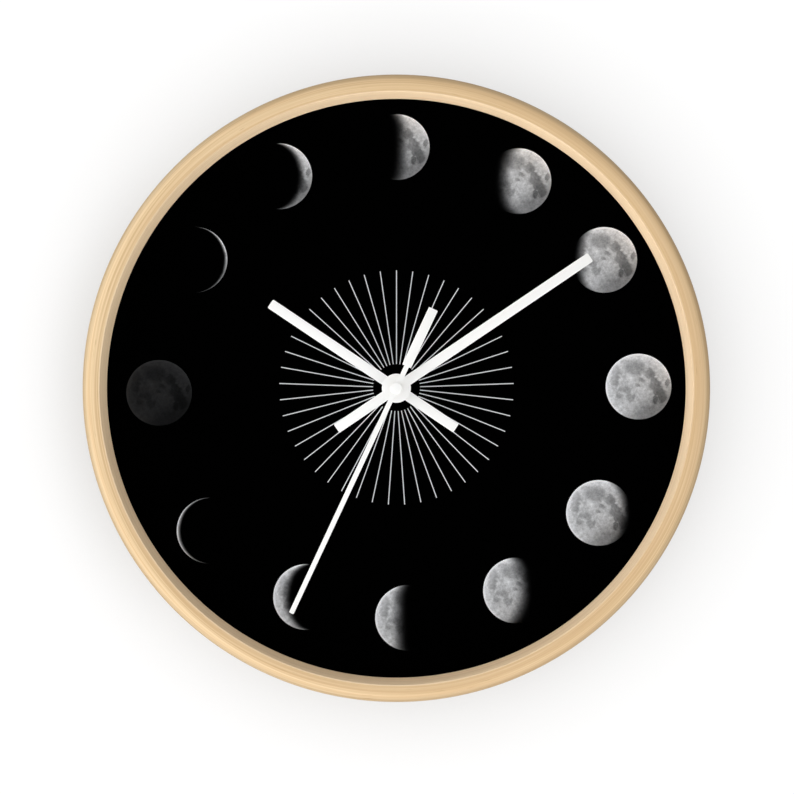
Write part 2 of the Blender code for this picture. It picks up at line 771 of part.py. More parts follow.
def build_hanger(clock, finishes):
    """A steel strap clamped behind the board, bent back over the case and up into a keyhole tab."""
    front_z = (strap_front + strap_back) / 2
    tab_z = HANGER_WALL_GAP + HANGER_THICK / 2
    over_y = strap_drop + HANGER_THICK / 2
    low = (-HANGER_BELOW_BUSH, front_z)
    first = (over_y, front_z)
    second = (over_y, tab_z)
    top = (tab_top, tab_z)
    path = [low, *bend(first, low, second, HANGER_BEND_R), *bend(second, first, top, HANGER_BEND_R), top]
    strap = plate(-HANGER_WIDTH / 2, HANGER_WIDTH / 2, thick_line(path, HANGER_THICK))
    bmesh.ops.rotate(strap, verts=strap.verts, matrix=STAND_IN_YZ)
    corners = [
        edge
        for edge in strap.edges
        if all(vert.co.y > tab_top - SEAT_GAP for vert in edge.verts)
        and abs(edge.verts[0].co.x - edge.verts[1].co.x) < SEAT_GAP
    ]
    bmesh.ops.bevel(
        strap,
        geom=corners,
        offset=HANGER_CORNER_R,
        segments=4,
        profile=0.5,
        affect="EDGES",
    )
    hanger = add_object("hanger_strap", strap, finishes["steel"], clock, smooth_angle=35)
    bush = plate(strap_back - HANGER_THICK, strap_front + HANGER_THICK, circle(bush_hole_r))
    cut(hanger, cutter("bush_cutter", bush, clock))
    narrow = math.asin(KEYHOLE_SLOT_R / KEYHOLE_EYE_R)
    eye_start = math.degrees(math.pi / 2 + narrow)
    eye_sweep = 360.0 - 2 * math.degrees(narrow)
    eye = [polar(KEYHOLE_EYE_R, eye_start + eye_sweep * step / 20, (0.0, keyhole_y)) for step in range(21)]
    slot_y = keyhole_y + KEYHOLE_SLOT_RISE
    slot = [polar(KEYHOLE_SLOT_R, 180.0 * step / 8, (0.0, slot_y)) for step in range(9)]
    keyhole = plate(HANGER_WALL_GAP - HANGER_THICK, HANGER_WALL_GAP + 2 * HANGER_THICK, eye + slot)
    cut(hanger, cutter("keyhole_cutter", keyhole, clock))


def build_case_front(clock, finishes):
    """The front shell: threaded bush, walls with windows for the lid's hooks, pillars for the mid plate,
    and the battery bay with its lip and finger notch."""
    wall_end = lid_inside + SEAT_GAP
    outline = rounded_box(-case_half, case_low, case_half, case_high, CASE_CORNER_R)
    corner = CASE_INNER_CORNER_R
    chamber = rounded_box(-chamber_half, chamber_low, chamber_half, chamber_high, corner, 2)
    bay = rounded_box(-chamber_half, bay_low, chamber_half, bay_high, corner, 2)
    lip_half = case_half - LIP_STEP
    lip = rounded_box(-lip_half, case_low + LIP_STEP, lip_half, chamber_low - LIP_STEP, 2 * corner, 2)
    pillars = [circle(POST_R, PIVOT_STEPS, at) for at in post_places]
    pivots = [circle(pivot_hole_r, PIVOT_STEPS, at) for at in (minute_wheel_at, setting_at)]
    bore = circle(bush_bore_r)
    bush = circle(BUSH_R)
    stack = [
        (lid_back, [lip, bay]),
        (wall_end, [outline, chamber, bay]),
        (mid_plate_top + SEAT_GAP, [outline, chamber, bay, *pillars]),
        (chamber_top, [outline, bore, *pivots]),
        (chamber_top + BEARING_DEPTH, [outline, bore]),
        (case_front_z, [bush, bore]),
        (bush_top, []),
    ]
    case = add_object("case_front", layered(stack), finishes["black_plastic"], clock, smooth_angle=35)
    reach = (chamber_low - bay_high) / 2
    for side, name in ((1, "right"), (-1, "left")):
        inner = side * (chamber_half - NOTCH_WIDTH)
        outer = side * (chamber_half + RUNNING_GAP)
        opening = rectangle(inner, bay_high - reach, outer, chamber_low + reach)
        notch = plate(contact_low - SEAT_GAP, contact_high + SEAT_GAP, opening)
        cut(case, cutter(f"{name}_notch_cutter", notch, clock))
    for number, (side, y) in enumerate(hook_places):
        half = HOOK_WIDTH / 2 + FINE_GAP + SEAT_GAP
        inner = side * (chamber_half - SEAT_GAP)
        outer = side * (case_half + SEAT_GAP)
        opening = rectangle(inner, y - half, outer, y + half)
        window = plate(hook_head_z - FINE_GAP, hook_top + FINE_GAP, opening)
        cut(case, cutter(f"window_cutter_{number + 1}", window, clock))
    notch = plate(bay_low - 2 * CASE_WALL, bay_low + CASE_WALL, circle(FINGER_NOTCH_R))
    place = (FINGER_NOTCH_X, 0.0, lid_back)
    cut(case, cutter("finger_cutter", notch, clock, place, (-math.pi / 2, 0.0, 0.0)))


def build_case_back(clock, finishes):
    """The lid over the wheels: bearing bosses, posts, snap hooks, and a shallow recess round the setting
    knob."""
    low = chamber_low - LIP_STEP + SEAT_GAP
    outline = rounded_box(-case_half, low, case_half, case_high, CASE_INNER_CORNER_R * 2, 2)
    recess = circle(KNOB_R + KNOB_RECESS_GAP, PART_STEPS, setting_at)
    stem_hole = circle(STEM_R + RUNNING_GAP, PIVOT_STEPS, setting_at)
    bearings = (centre_at, third_at, intermediate_at, rotor_at)
    holes = [circle(pivot_hole_r, PIVOT_STEPS, at) for at in bearings]
    bosses = [circle(pivot_hole_r + BOSS_WALL, PIVOT_STEPS, at) for at in bearings]
    stem_boss = circle(STEM_R + RUNNING_GAP + BOSS_WALL, PIVOT_STEPS, setting_at)
    seat_at = post_places[2]
    posts = [circle(POST_R, PIVOT_STEPS, at) for at in post_places]
    seats = [
        circle(POST_R + CIRCUIT_SEAT, PIVOT_STEPS, seat_at),
        circle(STATOR_POST_R, PIVOT_STEPS, circuit_boss_at),
    ]
    high_posts = [posts[0], posts[1], posts[3]]
    rests = [circle(STATOR_POST_R, PIVOT_STEPS, at) for at in stator_posts]
    half = HOOK_WIDTH / 2
    hooks = [
        rectangle(side * (hook_face - HOOK_THICK), y - half, side * hook_face, y + half)
        for side, y in hook_places
    ]
    half += FINE_GAP
    head_inner = hook_face - HOOK_THICK - FINE_GAP
    head_outer = hook_face + HOOK_BARB
    heads = [rectangle(side * head_inner, y - half, side * head_outer, y + half) for side, y in hook_places]
    stack = [
        (lid_back, [outline, recess]),
        (lid_back + KNOB_RECESS_DEPTH, [outline, stem_hole]),
        (bearing_floor, [outline, stem_hole, *holes]),
        (lid_inside, [stem_boss, stem_hole, *bosses, *holes, *high_posts, *seats, *rests, *hooks]),
        (boss_top, [*high_posts, *seats, *rests, *hooks]),
        (hook_head_z, [*high_posts, *seats, *rests, *heads]),
        (hook_top, [*high_posts, *seats, *rests]),
        (circuit_z - FINE_GAP, [*posts, *rests]),
        (stator_z - SEAT_GAP, posts),
        (mid_plate_z - SEAT_GAP, []),
    ]
    add_object("case_back", layered(stack), finishes["black_plastic"], clock, smooth_angle=35)


def build_mid_plate(clock, finishes):
    """The bearing plate between the running train and the motion work."""
    half = chamber_half - MID_PLATE_SIDE_GAP
    high = coil_y - BOBBIN_FLANGE_R - MID_PLATE_COIL_GAP
    outline = rounded_box(-half, chamber_low + SEAT_GAP, half, high, CASE_CORNER_R)
    bearings = (third_at, intermediate_at, rotor_at, minute_wheel_at)
    holes = [circle(pivot_hole_r, PIVOT_STEPS, at) for at in bearings]
    holes.append(circle(MINUTE_PIPE_R + RUNNING_GAP))
    holes.append(circle(STEM_R + RUNNING_GAP, PIVOT_STEPS, setting_at))
    mid_plate = plate(mid_plate_z, mid_plate_top, outline, *holes)
    add_object("mid_plate", mid_plate, finishes["white_plastic"], clock, smooth_angle=35)


def build_cell_and_contacts(clock, finishes):
    """The AA cell lying in its bay, and the sheet contacts that run from its ends to the circuit."""
    contact_face = chamber_half - SEAT_GAP - CONTACT_THICK
    cell_right = contact_face - SEAT_GAP
    cell_left = cell_right - CELL_LENGTH
    can = circle(CELL_R)
    end = circle(CELL_R - CELL_RIM)
    nub = circle(CELL_NUB_R)
    body = CELL_LENGTH - CELL_NUB
    stack = [(0.0, [end]), (CELL_RIM, [can]), (body - CELL_RIM, [end]), (body, [nub]), (CELL_LENGTH, [])]
    cell = add_object("battery_cell", layered(stack), finishes["cell"], clock, smooth_angle=35)
    cell.location = (cell_left, cell_y, cell_z)
    cell.rotation_euler = (0.0, math.pi / 2, 0.0)
    strip_x = chamber_half - SEAT_GAP - CONTACT_THICK / 2
    strip_y = chamber_low + SEAT_GAP + CONTACT_THICK / 2
    low = bay_low + CONTACT_END_GAP
    lap_x = circuit_left + CIRCUIT_WIDTH - CONTACT_BOARD_LAP
    corner = bend((strip_x, strip_y), (strip_x, low), (lap_x, strip_y), CONTACT_BEND_R)
    plus = plate(
        contact_low,
        contact_high,
        thick_line([(strip_x, low), *corner, (lap_x, strip_y)], CONTACT_THICK),
    )
    add_object("contact_plus", plus, finishes["nickel"], clock, smooth_angle=35)
    spring_x = cell_left - SEAT_GAP - CONTACT_THICK / 2
    minus = plate(
        contact_low,
        contact_high,
        thick_line(
            [
                (-strip_x, circuit_low + CONTACT_BOARD_LAP),
                (-strip_x, bay_high - CONTACT_END_GAP),
                (spring_x, cell_y + CONTACT_END_GAP / 2),
                (spring_x, cell_y - CONTACT_END_GAP / 2),
                (-strip_x, low),
            ],
            CONTACT_THICK,
        ),
    )
    add_object("contact_minus", minus, finishes["nickel"], clock, smooth_angle=35)


def build_circuit(clock, finishes):
    """The small circuit board on its post, with the driver chip under its blob and the crystal's can."""
    post = circle(POST_R + FINE_GAP, PIVOT_STEPS, post_places[2])
    right = circuit_left + CIRCUIT_WIDTH
    high = circuit_low + CIRCUIT_HEIGHT
    outline = rounded_box(circuit_left, circuit_low, right, high, CASE_INNER_CORNER_R, 1)
    top = circuit_z + CIRCUIT_THICK
    board = plate(circuit_z, top, outline, post)
    add_object("circuit_board", board, finishes["circuit"], clock, smooth_angle=35)
    chip_z = top + FINE_GAP
    chip_at = (right - CHIP_FROM_RIGHT, high - CHIP_FROM_TOP)
    chip = plate(chip_z, chip_z + CHIP_THICK, circle(CHIP_R, 16))
    bevel_rim(chip, chip_z + CHIP_THICK, CHIP_ROUND, 2)
    add_object("chip_blob", chip, finishes["black_plastic"], clock, (*chip_at, 0.0), smooth_angle=50)
    crystal = plate(0.0, CRYSTAL_LENGTH, circle(CRYSTAL_R, PIVOT_STEPS))
    place = (circuit_left + CRYSTAL_R, high - 2 * CRYSTAL_R, chip_z + CRYSTAL_R)
    can = add_object("quartz_crystal", crystal, finishes["nickel"], clock, place, smooth_angle=35)
    can.rotation_euler = (0.0, math.pi / 2, 0.0)


def build_motor(clock, finishes):
    """The stepping motor's still parts: stator plate with two rest notches in its round hole, coil core,
    bobbin and winding."""
    rotor_x, rotor_y = rotor_at
    low = rotor_y - STATOR_HALF_WIDTH
    high = rotor_y + STATOR_HALF_WIDTH
    top = coil_y + CORE_WIDTH / 2
    step_x = intermediate_at[0] - WHEEL_ARBOR_R - 2 * SEAT_GAP
    step_y = intermediate_at[1] + WHEEL_ARBOR_R + 2 * SEAT_GAP
    outline = [
        (stator_left, low),
        (step_x, low),
        (step_x, step_y),
        (stator_right, step_y),
        (stator_right, top),
        (stator_right - STATOR_LEG, top),
        (stator_right - STATOR_LEG, high),
        (stator_left + STATOR_LEG, high),
        (stator_left + STATOR_LEG, top),
        (stator_left, top),
    ]
    hole_r = MAGNET_R + ROTOR_HOLE_GAP
    hole = circle(hole_r, PART_STEPS, rotor_at)
    for notch in (0, PART_STEPS // 2):
        hole[notch] = polar(hole_r + DETENT_DEPTH, 360.0 * notch / PART_STEPS, rotor_at)
    stator = plate(stator_z, stator_z + STATOR_THICK, outline, hole)
    add_object("stator_plate", stator, finishes["iron"], clock, smooth_angle=35)
    bar = rectangle(stator_left, coil_y - CORE_WIDTH / 2, stator_right, top)
    core = plate(core_z, core_z + STATOR_THICK, bar)
    add_object("coil_core", core, finishes["iron"], clock)
    start = stator_left + STATOR_LEG + SEAT_GAP
    length = stator_right - STATOR_LEG - SEAT_GAP - start
    half_z = STATOR_THICK / 2 + FINE_GAP
    half_y = CORE_WIDTH / 2 + FINE_GAP
    bore = rectangle(-half_z, -half_y, half_z, half_y)
    flange = circle(BOBBIN_FLANGE_R)
    far_flange = circle(BOBBIN_FLANGE_R)
    tube = circle(BOBBIN_TUBE_R)
    stack = [
        (0.0, [flange, bore]),
        (BOBBIN_FLANGE, [tube, bore]),
        (length - BOBBIN_FLANGE, [far_flange, bore]),
        (length, []),
    ]
    bobbin = add_object("coil_bobbin", layered(stack), finishes["white_plastic"], clock, smooth_angle=35)
    winding_loops = (circle(COIL_R), circle(BOBBIN_TUBE_R + FINE_GAP))
    coil = plate(BOBBIN_FLANGE + FINE_GAP, length - BOBBIN_FLANGE - FINE_GAP, *winding_loops)
    winding = add_object("coil_winding", coil, finishes["copper"], clock, smooth_angle=35)
    for piece in (bobbin, winding):
        piece.location = (start, coil_y, coil_z)
        piece.rotation_euler = (0.0, math.pi / 2, 0.0)


def build_rotor(clock, finishes):
    """The magnet ring on its pinion."""
    arbor = empty("rotor_arbor", (*rotor_at, 0.0), clock)
    loops = {
        "pivot": circle(PIVOT_R, PIVOT_STEPS),
        "leaves": pinion_outline(PINION_LEAVES, ROTOR_MODULE, 0.0),
        "arbor": circle(SECOND_ARBOR_R, PIVOT_STEPS),
        "front": circle(PIVOT_R, PIVOT_STEPS),
    }
    stack = [
        (bearing_floor + FINE_GAP, [loops["pivot"]]),
        (boss_top + FINE_GAP, [loops["leaves"]]),
        (intermediate_wheel_z + WHEEL_THICK + PINION_OVERLAP, [loops["arbor"]]),
        (mid_plate_z - FINE_GAP, [loops["front"]]),
        (mid_plate_top - FINE_GAP, []),
    ]
    add_object("rotor_pinion", layered(stack), finishes["red_plastic"], arbor, smooth_angle=35)
    middle = stator_z + STATOR_THICK / 2
    magnet = plate(
        middle - MAGNET_THICK / 2,
        middle + MAGNET_THICK / 2,
        circle(MAGNET_R),
        circle(second_bore_r, PIVOT_STEPS),
    )
    add_object("rotor_magnet", magnet, finishes["magnet"], arbor, smooth_angle=35)


def build_train(clock, finishes):
    """The running train from the rotor's pinion to the centre wheel."""
    pivot = circle(PIVOT_R, PIVOT_STEPS)
    front_pivot = circle(PIVOT_R, PIVOT_STEPS)
    shaft = circle(WHEEL_ARBOR_R, PIVOT_STEPS)
    front_shaft = circle(WHEEL_ARBOR_R, PIVOT_STEPS)

    def compound(name, at, teeth, leaves, wheel_z, driven_z, finish):
        arbor = empty(name + "_arbor", (*at, 0.0), clock)
        stack = [
            (bearing_floor + FINE_GAP, [pivot]),
            (boss_top + FINE_GAP, [shaft]),
            (wheel_z, [teeth]),
            (wheel_z + WHEEL_THICK, [leaves]),
            (driven_z + WHEEL_THICK + PINION_OVERLAP, [front_shaft]),
            (mid_plate_z - FINE_GAP, [front_pivot]),
            (mid_plate_top - FINE_GAP, []),
        ]
        add_object(name, layered(stack), finish, arbor, smooth_angle=35)

    compound(
        "intermediate_wheel",
        intermediate_at,
        wheel_outline(INTERMEDIATE_TEETH, ROTOR_MODULE, intermediate_phase),
        pinion_outline(PINION_LEAVES, SECOND_MODULE, 0.0),
        intermediate_wheel_z,
        second_wheel_z,
        finishes["white_plastic"],
    )
    compound(
        "third_wheel",
        third_at,
        wheel_outline(THIRD_TEETH, THIRD_MODULE, third_phase),
        pinion_outline(PINION_LEAVES, centre_module, 0.0),
        third_wheel_z,
        centre_wheel_z,
        finishes["white_plastic"],
    )
    centre = empty("centre_arbor", (*centre_at, 0.0), clock)
    bore = circle(second_bore_r, PIVOT_STEPS)
    hub = circle(second_bore_r + HUB_WALL, PIVOT_STEPS)
    stack = [
        (second_wheel_z - HUB_WALL, [hub, bore]),
        (second_wheel_z, [wheel_outline(SECOND_TEETH, SECOND_MODULE, second_phase), bore]),
        (second_wheel_z + WHEEL_THICK, [pinion_outline(PINION_LEAVES, THIRD_MODULE, 0.0), bore]),
        (third_wheel_z + WHEEL_THICK + PINION_OVERLAP, []),
    ]
    add_object("second_wheel", layered(stack), finishes["white_plastic"], centre, smooth_angle=35)
    arbor_loop = circle(SECOND_ARBOR_R, PIVOT_STEPS)
    stack = [
        (bearing_floor + FINE_GAP, [pivot]),
        (boss_top + FINE_GAP, [arbor_loop]),
        (second_arbor_top, []),
    ]
    add_object("second_arbor", layered(stack), finishes["steel"], centre, smooth_angle=35)
    centre_wheel = plate(
        centre_wheel_z,
        centre_wheel_z + WHEEL_THICK,
        wheel_outline(CENTRE_TEETH, centre_module, centre_phase),
        circle(MINUTE_PIPE_R + FINE_GAP / 2),
    )
    add_object("centre_wheel", centre_wheel, finishes["white_plastic"], centre, smooth_angle=35)
    return centre


def build_motion_work(clock, centre, finishes):
    """Minute pipe, minute wheel, hour wheel and the setting knob that turns them from behind."""
    bore = circle(MINUTE_BORE_R, PIVOT_STEPS)
    pipe = circle(MINUTE_PIPE_R)
    upper_pipe = circle(MINUTE_PIPE_R)
    flange = circle(MINUTE_PIPE_R + HUB_WALL)
    cannon = pinion_outline(CANNON_LEAVES, MOTION_MODULE, 0.0)
    minute_top = minute_wheel_z + WHEEL_THICK + PINION_OVERLAP
    stack = [
        (centre_wheel_z - 2 * FINE_GAP, [flange, bore]),
        (centre_wheel_z - FINE_GAP, [pipe, bore]),
        (minute_wheel_z - PINION_OVERLAP, [cannon, bore]),
        (minute_top, [upper_pipe, bore]),
        (minute_pipe_top, []),
    ]
    add_object("minute_pipe", layered(stack), finishes["steel"], centre, smooth_angle=35)
    hour_bore = circle(hour_bore_r)
    stack = [
        (minute_top + FINE_GAP, [circle(HOUR_PIPE_R + HUB_WALL), hour_bore]),
        (hour_wheel_z, [wheel_outline(HOUR_TEETH, hour_module, hour_phase), hour_bore]),
        (hour_wheel_z + WHEEL_THICK, [circle(HOUR_PIPE_R), hour_bore]),
        (hour_pipe_top, []),
    ]
    add_object("hour_wheel", layered(stack), finishes["black_plastic"], centre, smooth_angle=35)
    low_pivot = circle(PIVOT_R, PIVOT_STEPS)
    high_pivot = circle(PIVOT_R, PIVOT_STEPS)
    low_shaft = circle(MOTION_ARBOR_R, PIVOT_STEPS)
    high_shaft = circle(MOTION_ARBOR_R, PIVOT_STEPS)
    pivot_top = chamber_top + BEARING_DEPTH - FINE_GAP
    wheel_arbor = empty("minute_wheel_arbor", (*minute_wheel_at, 0.0), clock)
    stack = [
        (mid_plate_z + FINE_GAP, [low_pivot]),
        (mid_plate_top + FINE_GAP, [low_shaft]),
        (minute_wheel_z, [wheel_outline(MINUTE_TEETH, MOTION_MODULE, minute_phase)]),
        (minute_wheel_z + WHEEL_THICK, [pinion_outline(PINION_LEAVES, hour_module, 0.0)]),
        (hour_wheel_z + WHEEL_THICK + PINION_OVERLAP, [high_shaft]),
        (chamber_top - FINE_GAP, [high_pivot]),
        (pivot_top, []),
    ]
    add_object("minute_wheel", layered(stack), finishes["white_plastic"], wheel_arbor, smooth_angle=35)
    setting_arbor = empty("setting_arbor", (*setting_at, 0.0), clock)
    points_per_flute = 3
    total = KNOB_FLUTES * points_per_flute
    fluted = [
        polar(
            KNOB_R - KNOB_FLUTE_DEPTH * (1 - math.cos(2 * math.pi * step / points_per_flute)) / 2,
            360.0 * step / total,
        )
        for step in range(total)
    ]
    stack = [
        (knob_back, [fluted]),
        (knob_top, [circle(STEM_R)]),
        (minute_wheel_z - PINION_OVERLAP, [pinion_outline(SETTING_LEAVES, MOTION_MODULE, setting_phase)]),
        (minute_top, [high_shaft]),
        (chamber_top - FINE_GAP, [high_pivot]),
        (pivot_top, []),
    ]
    add_object("setting_knob", layered(stack), finishes["black_plastic"], setting_arbor, smooth_angle=35)


def build_hands(centre, finishes):
    """Hour, minute and second hands on their pipes and arbor, and the cap over the second hand's tube."""
    paint = finishes["white_paint"]
    hour_hole = circle(HOUR_PIPE_R + RUNNING_GAP)
    outline = hand_outline(HOUR_HAND_LENGTH, HAND_TAIL, HAND_WIDTH, HAND_HUB_R, HAND_TIP_CORNER)
    collar = circle(HOUR_PIPE_R + RUNNING_GAP + HUB_COLLAR_WALL)
    stack = [
        (hour_collar_z, [collar, hour_hole]),
        (hour_hand_z, [outline, hour_hole]),
        (hour_hand_z + HAND_THICK, []),
    ]
    turn = -math.radians(HOUR_HAND_ANGLE)
    add_object("hour_hand", layered(stack), paint, centre, turn=turn, smooth_angle=35)
    minute_hole = circle(MINUTE_PIPE_R + RUNNING_GAP)
    outline = hand_outline(MINUTE_HAND_LENGTH, HAND_TAIL, HAND_WIDTH, HAND_HUB_R, HAND_TIP_CORNER)
    collar = circle(MINUTE_PIPE_R + RUNNING_GAP + HUB_COLLAR_WALL)
    stack = [
        (minute_hand_z - HUB_COLLAR_HEIGHT, [collar, minute_hole]),
        (minute_hand_z, [outline, minute_hole]),
        (minute_hand_z + HAND_THICK, []),
    ]
    turn = -math.radians(MINUTE_HAND_ANGLE)
    add_object("minute_hand", layered(stack), paint, centre, turn=turn, smooth_angle=35)
    second_hole = circle(second_bore_r, PIVOT_STEPS)
    tube_low = minute_pipe_top + 2 * SEAT_GAP
    stack = [
        (tube_low, [circle(second_bore_r + SECOND_TUBE_WALL, PIVOT_STEPS), second_hole]),
        (second_hand_z, [second_hand_outline(), second_hole]),
        (second_hand_z + SECOND_HAND_THICK, []),
    ]
    turn = -math.radians(SECOND_HAND_ANGLE)
    add_object("second_hand", layered(stack), paint, centre, turn=turn, smooth_angle=35)
    cap_top = cap_z + SECOND_CAP_HEIGHT
    cap = plate(cap_z, cap_top, circle(SECOND_CAP_R))
    bevel_rim(cap, cap_top, SECOND_CAP_ROUND, 3)
    add_object("second_cap", cap, paint, centre, smooth_angle=50)


def main():
    clear_scene()
    finishes = {
        "wood": material("bent_beech", (0.76, 0.54, 0.31), 0.45),
        "acrylic": material("clear_acrylic", (0.95, 0.97, 0.98), 0.05, alpha=0.25),
        "dial": material("printed_black", (0.004, 0.004, 0.004), 0.6),
        "board": material("fibreboard", (0.42, 0.27, 0.15), 0.8),
        "steel": material("zinc_plated_steel", (0.62, 0.62, 0.60), 0.35, metallic=1.0),
        "rubber": material("black_rubber", (0.02, 0.02, 0.02), 0.8),
        "brass": material("brass", (0.78, 0.57, 0.25), 0.3, metallic=1.0),
        "black_plastic": material("black_abs", (0.02, 0.02, 0.022), 0.45),
        "white_plastic": material("natural_acetal", (0.85, 0.84, 0.80), 0.4),
        "red_plastic": material("red_acetal", (0.55, 0.03, 0.02), 0.4),
        "white_paint": material("white_painted_aluminium", (0.95, 0.95, 0.95), 0.5),
        "nickel": material("nickel_plated_steel", (0.72, 0.70, 0.66), 0.25, metallic=1.0),
        "iron": material("electrical_iron", (0.45, 0.45, 0.46), 0.4, metallic=1.0),
        "magnet": material("plated_magnet", (0.50, 0.50, 0.52), 0.3, metallic=1.0),
        "copper": material("enamelled_copper", (0.72, 0.32, 0.12), 0.3, metallic=1.0),
        "circuit": material("circuit_laminate", (0.05, 0.20, 0.08), 0.5),
        "cell": material("cell_sleeve", (0.10, 0.10, 0.11), 0.35),
    }
    clock = empty("clock", (0.0, HANGER_WALL_GAP, -hang_point_y))
    clock.rotation_euler = (math.pi / 2, 0.0, 0.0)
    build_hoop(clock, finishes)
    build_face(clock, finishes)
    build_clips(clock, finishes)
    build_bush_stack(clock, finishes)
    build_hanger(clock, finishes)
    build_case_front(clock, finishes)
    build_case_back(clock, finishes)
    build_mid_plate(clock, finishes)
    build_cell_and_contacts(clock, finishes)
    build_circuit(clock, finishes)
    build_motor(clock, finishes)
    build_rotor(clock, finishes)
    centre = build_train(clock, finishes)
    build_motion_work(clock, centre, finishes)
    build_hands(centre, finishes)


main()
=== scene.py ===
"""The looks of the moon phase wall clock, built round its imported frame.

Shapes are worked out in drawing millimetres: right and up are measured from the hands' axis as the dial is
read, and height is measured forward from the wall.
"""

import json
import math

import bmesh
import bpy
import numpy as np
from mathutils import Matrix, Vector


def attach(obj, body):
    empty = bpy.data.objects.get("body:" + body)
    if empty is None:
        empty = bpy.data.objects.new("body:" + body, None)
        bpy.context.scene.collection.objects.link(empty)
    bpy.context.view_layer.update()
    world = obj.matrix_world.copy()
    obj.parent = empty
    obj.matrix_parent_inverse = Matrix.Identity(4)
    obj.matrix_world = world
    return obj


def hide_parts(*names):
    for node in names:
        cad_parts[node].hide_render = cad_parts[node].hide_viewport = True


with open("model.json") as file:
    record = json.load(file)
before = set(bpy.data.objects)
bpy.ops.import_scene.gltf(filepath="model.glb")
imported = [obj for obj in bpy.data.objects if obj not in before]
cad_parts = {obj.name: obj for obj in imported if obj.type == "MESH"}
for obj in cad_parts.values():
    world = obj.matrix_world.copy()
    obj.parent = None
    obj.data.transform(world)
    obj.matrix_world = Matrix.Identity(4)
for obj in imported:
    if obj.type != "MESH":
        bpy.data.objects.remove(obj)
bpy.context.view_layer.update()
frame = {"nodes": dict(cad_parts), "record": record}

# A millimetre in the frame's metres, and the places of the clock in the frame, in millimetres
MM = 1e-3
WALL_Y = 2.0
AXIS_Z = -49.772

# Hoop
HOOP_OUTER_R = 127.0
HOOP_INNER_R = 119.4
HOOP_MOUTH_R = 119.1
REBATE_R = 122.1
SHOULDER = 27.3
HOOP_DEPTH = 40.0
BACK_CHAMFER = 1.0
ROUND_WIDE = 5.6
ROUND_DEEP = 4.4
ARRIS_ROUND = 0.2
REBATE_ROUND = 0.2
EDGE_ROUND = 0.3

# Hour and minute hands
HAND_WIDTH = 4.1
HAND_THICK = 0.5
HUB_R = 5.9
HAND_TAIL = 29.3
HAND_EDGE = 0.1
TIP_ROUND = 0.6
TAIL_ROUND = 0.3
COLLAR_WALL = 0.9

# Each hand's length, clock angle in degrees, underside, bore radius and its collar's underside
HANDS = {
    "hour_hand": (62.0, 303.9, 31.9, 2.62, 31.1),
    "minute_hand": (95.1, 55.93, 34.2, 1.82, 33.4),
}
SECOND_ANGLE = 205.04

# Movement: how wide the edges of each softened CAD node are rounded, in mm
SOFT_EDGES = {"case_front": 0.15, "case_back": 0.15, "hanger_strap": 0.12}

# In degrees: edges past the first angle stay sharp, and softened nodes' edges past the second are rounded.
# Their faces within the third angle, and corners within the distance in metres, are merged
SHARP_ANGLE = 32.0
ROUNDED_ANGLE = 40.0
FLAT_ANGLE = 0.8
MERGE_DISTANCE = 2e-6

# Printed dial
RAY_COUNT = 45
RAY_INNER_R = 9.75
RAY_OUTER_R = 48.6
RAY_HALF_WIDTH = 0.19
BURST_RIGHT = 0.06
BURST_UP = 0.29
INK_BLEED = 0.03
MOON_R = 13.60
FACE_TURN = 12.0
NEW_MARK = 1.5

# The twelve moons: distance from the axis in mm, clock angle in degrees, lit side (1 right, -1 left), where
# the shadow's edge crosses the middle towards that side, how far it is shifted, its width, all in radii, and
# the power that its fade follows. A shift past NEW_MARK marks the new moon, which is printed dim.
MOONS = (
    (100.0, 0.1, 1, 0.22, -0.15, 0.82, 5.00),
    (99.7, 30.5, 1, -0.41, -0.10, 0.79, 3.75),
    (101.3, 58.3, 1, -0.45, -0.29, 0.45, 2.15),
    (100.4, 89.6, 1, -2.00, -0.90, 0.10, 1.00),
    (98.6, 121.6, -1, -0.56, -0.24, 0.49, 2.68),
    (97.4, 149.4, -1, -0.41, 0.11, 0.79, 3.30),
    (95.3, 177.1, -1, 0.13, 0.04, 0.83, 5.00),
    (94.3, 203.4, -1, 0.72, -0.20, 0.52, 5.00),
    (97.4, 232.7, -1, 0.93, -0.01, 0.17, 2.40),
    (98.4, 268.9, -1, 0.00, 2.00, 0.10, 1.00),
    (99.2, 302.5, 1, 0.92, -0.02, 0.16, 5.00),
    (100.4, 331.1, 1, 0.77, -0.17, 0.46, 5.00),
)

# The Moon's dark plains as ovals on its disc with north up: centre right and up, half width and half height,
# in radii. They are general map facts.
PLAINS = (
    (-0.24, 0.55, 0.30, 0.25),
    (0.27, 0.47, 0.17, 0.17),
    (0.42, 0.30, 0.12, 0.12),
    (0.50, 0.13, 0.19, 0.18),
    (0.64, 0.02, 0.13, 0.15),
    (0.84, 0.29, 0.06, 0.12),
    (0.78, -0.12, 0.12, 0.19),
    (0.56, -0.06, 0.09, 0.12),
    (0.59, -0.28, 0.09, 0.12),
    (-0.18, -0.36, 0.13, 0.13),
    (-0.33, -0.16, 0.12, 0.12),
    (-0.48, -0.20, 0.12, 0.08),
    (-0.52, -0.40, 0.08, 0.09),
    (-0.74, 0.05, 0.13, 0.20),
    (-0.78, 0.34, 0.13, 0.22),
    (-0.50, 0.68, 0.22, 0.08),
    (0.04, 0.22, 0.09, 0.06),
    (-0.04, 0.05, 0.06, 0.05),
)

# Bright young craters: centre right and up, reach of their splash, and gain
SPLASHES = (
    (-0.14, -0.68, 0.40, 0.10),
    (-0.27, 0.17, 0.15, 0.26),
    (-0.40, 0.28, 0.10, 0.20),
    (-0.56, 0.12, 0.10, 0.22),
    (-0.64, 0.42, 0.08, 0.24),
    (0.39, 0.22, 0.05, 0.30),
    (0.06, 0.34, 0.10, 0.12),
    (-0.02, -0.10, 0.30, 0.06),
)


